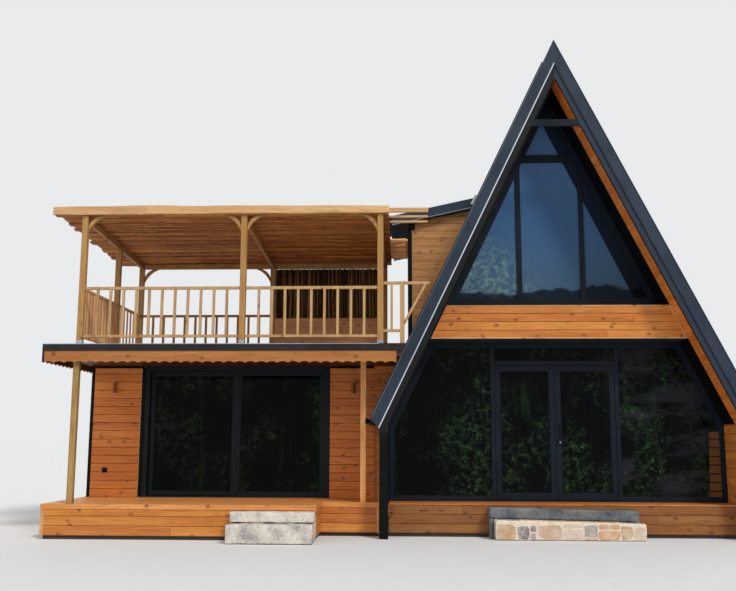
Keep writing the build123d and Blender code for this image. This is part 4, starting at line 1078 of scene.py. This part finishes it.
edge = Stock(33)
edge_board(edge, -7.858, -6.402, 4.892, 5.036, 0.012)
edge_board(edge, -6.399, -2.632, 4.894, 5.039, 0.010, taper=0.026)
edge_board(edge, -2.63, -2.031, 4.896, 4.974, 0.005)
for y in (-4.22, -3.94):
    edge.beam((-2.63, -2.03), y + 0.024, pergola_z(y) + 0.022, 0.048, 0.034, chamfer=0.005)
edge.make("pergola_edge_boards", SPLIT, "pale_timber", replaces=["roof_edge_boards"])

# Galvanised shoes of the pergola's posts
shoes = Stock(34)
for x in (-7.36, -4.87, -2.7645):
    for y in (PERGOLA_Y, -1.29) + ((-2.71,) if x < -7 else ()):
        shoes.beam(x, y, (2.872, 2.945), 0.093, 0.093, up=Y)
        for dx, dy in ((0.047, 0), (-0.047, 0), (0, 0.047), (0, -0.047)):
            shoes.rod([(x + dx * far, y + dy * far, 2.92) for far in (0.95, 1.06)], 0.006, 6)
shoes.make("post_shoes", STEEL, "handle_metal")

# Reed screen and the low wall under it
screen = Stock(35)
rng = screen.rng
count = 210
for index in range(count):
    x = held(-4.815 + 1.995 * (index + rng.uniform(-0.4, 0.4)) / (count - 1), -4.818, -2.817)
    y = (-1.3, -1.282)[index % 2] + rng.uniform(-0.003, 0.003)
    tall = 0.947 - rng.uniform(0.0, 0.012)
    lean = rng.uniform(-0.03, 0.03)
    line = [(held(x + lean * k / 2, -4.82, -2.815), y, 3.69 + tall * k / 2) for k in range(3)]
    screen.rod(line, rng.uniform(0.005, 0.009), 5)
screen.slab((0, -1.289, 0), X, Z, rect(-4.82, -2.815, 3.69, 4.626), -0.003, 0.003, 0.001, tone=0.1)
for z in (3.85, 4.2, 4.52):
    for y in (-1.304, -1.276):
        screen.rod([(-4.822, y, z), (-2.813, y, z)], 0.0025, 5, tone=0.0)
screen.make("reed_screen_stems", REED_DARK, "reed", replaces=["reed_screen"], smooth=True)
walls(36, "low_wall_planks", RED_BOARD, [
    ("front", -1.32, (2.88, 3.698), -4.822, -2.812),
    ("back", -1.26, (2.88, 3.698), -4.822, -2.812),
], "pale_timber", thick=0.008, pitch=0.16, backed=False)


# Stone steps
def hewn(stock, low, high, cell=0.028, round_by=0.02, rough=0.009, tone=None, sag=(0.0, 0.0)):
    """A roughly hewn block inside its limits, with rounded, uneven edges.

    sag lowers the right end of its bottom and of its top.
    """
    low, high = Vector(low), Vector(high)
    size = high - low
    seen, verts, faces = {}, [], []

    def vertex(p):
        key = tuple(round(c, 4) for c in p)
        if key not in seen:
            core = Vector([held(p[i], low[i] + round_by, high[i] - round_by) for i in range(3)])
            out = (p - core).normalized()
            swell = sum(part * noise.noise(p * fine) for part, fine in ((0.5, 6), (0.3, 21), (0.12, 60)))
            seen[key] = len(verts)
            spot = core + out * (round_by - rough * max(0.0, 0.5 + swell))
            bottom, top = sag
            spot.z -= (spot.x - low.x) / size.x * (bottom + (top - bottom) * (spot.z - low.z) / size.z)
            verts.append(spot)
        return seen[key]

    for axis in range(3):
        a, b = [i for i in range(3) if i != axis]
        na, nb = (max(2, round((high[i] - low[i]) / cell)) for i in (a, b))
        for value, flip in ((low[axis], False), (high[axis], True)):
            grid, p = [], Vector()
            p[axis] = value
            for i in range(na + 1):
                p[a] = low[a] + (high[a] - low[a]) * i / na
                grid.append([])
                for j in range(nb + 1):
                    p[b] = low[b] + (high[b] - low[b]) * j / nb
                    grid[i].append(vertex(p))
            for i in range(na):
                for j in range(nb):
                    quad = [grid[i][j], grid[i + 1][j], grid[i + 1][j + 1], grid[i][j + 1]]
                    faces.append(quad if flip != (axis == 1) else quad[::-1])
    stock.put(verts, faces, [(v[0], v[2]) for v in verts], tone)


def lump(stock, origin, eu, ev, span, tall, tone=None):
    """A flat irregular stone set in mortar, inside a span and a height."""
    rng, sides, square_by = stock.rng, 22, 5.0
    middle, half = (sum(span) / 2, sum(tall) / 2), ((span[1] - span[0]) / 2, (tall[1] - tall[0]) / 2)
    skew = [rng.uniform(-0.1, 0.1) for _ in range(4)]
    poly = []
    for i in range(sides):
        c, d = cos(tau * i / sides), sin(tau * i / sides)
        size = (abs(c) ** square_by + abs(d) ** square_by) ** (-1 / square_by) * rng.uniform(0.94, 1.0)
        u, v = c * size, d * size
        u, v = u * (1 - abs(skew[0]) + skew[0] * v), v * (1 - abs(skew[1]) + skew[1] * u)
        poly.append((middle[0] + half[0] * u, middle[1] + half[1] * v))
    stock.slab(origin, eu, ev, poly, -0.02, 0.009, 0.006, tone=tone)


def course(stock, origin, eu, ev, size, widths):
    """One course of stones of given widths."""
    mortar = 0.012
    scale = size[0] / sum(widths)
    left = 0.0
    for wide in widths:
        wide *= scale
        low, top = stock.rng.uniform(0.01, 0.04), size[1] - stock.rng.uniform(0.01, 0.04)
        lump(stock, origin, eu, ev, (left + mortar, left + wide - mortar), (low, top))
        left += wide


steps = Stock(41)
hewn(steps, (-4.93, -5.06, 0), (-3.69, -4.531, 0.274), rough=0.018, cell=0.024, tone=0.25)
hewn(steps, (-4.925, -4.795, 0.272), (-3.695, -4.531, 0.43), rough=0.016, cell=0.024, tone=0.75)
steps.make("wing_step_blocks", GRANITE, "step_stone", replaces=["wing_steps"], smooth=True)

steps = Stock(42)
hewn(steps, (-1.135, -4.02, 0.3), (1.085, -3.771, 0.46), round_by=0.014, rough=0.007, sag=(0.045, 0.045))
hewn(steps, (-1.135, -4.02, 0.0), (-1.075, -3.771, 0.3), round_by=0.012, rough=0.005)
steps.make("cabin_step_slab", SLATE, "step_stone", replaces=["cabin_steps"], smooth=True)
steps = Stock(43)
hewn(
    steps, (-1.077, -4.264, 0.0), (1.127, -3.771, 0.298), rough=0.012, cell=0.024, tone=0.5, sag=(0.0, 0.045)
)
steps.make("cabin_step_mortar", MORTAR, "step_stone", smooth=True)

# Rubble of the lower step: span, height and kind of each stone of its front, and courses on its other faces
steps = Stock(47)
for span, tall, kind in (
    ((0.01, 0.3), (0.004, 0.232), 0), ((0.308, 0.495), (0.004, 0.214), 1),
    ((0.503, 0.59), (0.004, 0.1), 3), ((0.503, 0.6), (0.118, 0.218), 1),
    ((0.606, 0.975), (0.004, 0.236), 2), ((0.984, 1.27), (0.004, 0.168), 5),
    ((0.99, 1.262), (0.178, 0.242), 5), ((1.278, 1.49), (0.05, 0.226), 3),
    ((1.29, 1.49), (0.004, 0.044), 0), ((1.498, 1.81), (0.004, 0.156), 4),
    ((1.5, 1.655), (0.166, 0.236), 0), ((1.662, 1.815), (0.166, 0.232), 4),
    ((1.818, 1.996), (0.004, 0.224), 0), ((2.004, 2.18), (0.004, 0.206), 5),
):
    lump(steps, (-1.07, -4.255, 0.006), X, Z, span, tall, tone=(kind + 0.5) / len(RUBBLE_TONES))
fall = Vector((2.204, 0, -0.045)).normalized()
course(steps, (-1.07, -4.25, 0.29), fall, Y, (2.19, 0.226), (0.42, 0.3, 0.36, 0.5, 0.34, 0.4))
course(steps, (1.119, -4.256, 0.012), Y, Z, (0.47, 0.225), (0.26, 0.21))
course(steps, (-1.069, -4.024, 0.012), (0, -1, 0), Z, (0.23, 0.27), (0.23,))
steps.make("cabin_step_rubble", RUBBLE, "step_stone")

# Lenses of the wall lamps, and a socket on the wing's front
lenses = Stock(52)
low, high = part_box("wall_lamps")
for x in (low[0] + 0.034, high[0] - 0.034):
    for z0, z1 in ((low[2] - 0.012, low[2] + 0.001), (high[2] - 0.001, high[2] + 0.012)):
        lenses.rod([(x, low[1] + 0.034, z) for z in (z0, z1)], 0.027, 24)
lenses.make("wall_lamp_lenses", FROSTED, "glass")
socket = Stock(53)
socket.slab((-7.457, -2.658, 0.945), X, Z, rect(-0.042, 0.042, -0.042, 0.042), 0.0, 0.012, 0.004)
socket.slab((-7.457, -2.67, 0.945), X, Z, rect(-0.03, 0.03, -0.03, 0.03), 0.0, 0.01, 0.004)
socket.beam((-7.487, -7.427), -2.672, 0.977, 0.008, 0.008)
socket.make("wall_socket", BLACK, "dark_frame")

# Long plate and lock of the door
plate, lock = Stock(55), Stock(56)
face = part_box("door_leaf_right")[0][1]
plate.beam(0.063, face - 0.004, (1.47, 1.7), 0.008, 0.034)
plate.make("door_plate", BLACK, "dark_frame", body="right_door")
for near, far, radius in ((0.002, -0.014, 0.014), (-0.013, -0.022, 0.009)):
    lock.rod([(0.066, face + near, 1.427), (0.066, face + far, 1.427)], radius, 20)
lock.make("door_lock", STEEL, "handle_metal", body="right_door")

# Rubber seals round the panes of the doors
for name, body in (
    ("door_glass_left", "left_door"), ("door_glass_right", "right_door"), ("slider_glass", "sliding_door")
):
    seal = Stock(61)
    low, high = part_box(name)
    x, z = ((low[i] + 0.004, high[i] - 0.004) for i in (0, 2))
    for y in (low[1] - 0.003, high[1] + 0.003):
        for side in x:
            seal.beam(side, y, z, 0.008, 0.006, up=Y, chamfer=0.0015)
        for side in z:
            seal.beam(x, y, side, 0.006, 0.008, chamfer=0.0015)
    seal.make(name + "_seal", BLACK, "dark_frame", body=body)

# Floor, world and lights
floor_mesh = bpy.data.meshes.new("floor")
floor_mesh.from_pydata([(x, y, 0) for x, y in rect(-600, 600, -600, 600)], [], [[0, 1, 2, 3]])
floor = placed("floor", floor_mesh)
mat, shader, place = start("floor")
colour = mix(clouds(place, 3.0, 4.0), (214, 213, 210), (221, 221, 219))
fill(shader, {"Base Color": colour, "Roughness": 0.95, "Specular IOR Level": 0.1})
floor_mesh.materials.append(mat)

world = bpy.data.worlds.new("world")
scene.world = world
world.use_nodes = True
tree = world.node_tree
tree.nodes.clear()
paths = tree.nodes.new("ShaderNodeLightPath").outputs
seen, glossy, through = (Num(paths[f"Is {kind} Ray"]) for kind in ("Camera", "Glossy", "Transmission"))
seen = seen.calc("MAXIMUM", glossy).calc("MAXIMUM", through)
(sky,) = add(tree, "Background", {"Color": rgb((236, 240, 244)), "Strength": 0.62})
(wall,) = add(tree, "Background", {"Color": rgb((233, 235, 237)), "Strength": 1.0})
(blend,) = add(tree, "MixShader", {"Fac": seen, 1: sky, 2: wall})
add(tree, "OutputWorld", {"Surface": blend})

for name, energy, angle, where in (
    ("key", 2.1, 0.2, (9, -13, 15)),
    ("fill", 0.55, 0.8, (-14, -12, 9)),
    ("rim", 0.5, 0.8, (2, 16, 12)),
):
    lamp = bpy.data.lights.new(name, "SUN")
    lamp.energy = energy
    lamp.angle = angle
    made = placed(name, lamp)
    made.rotation_mode = "QUATERNION"
    made.rotation_quaternion = Vector(where).to_track_quat("Z", "Y")
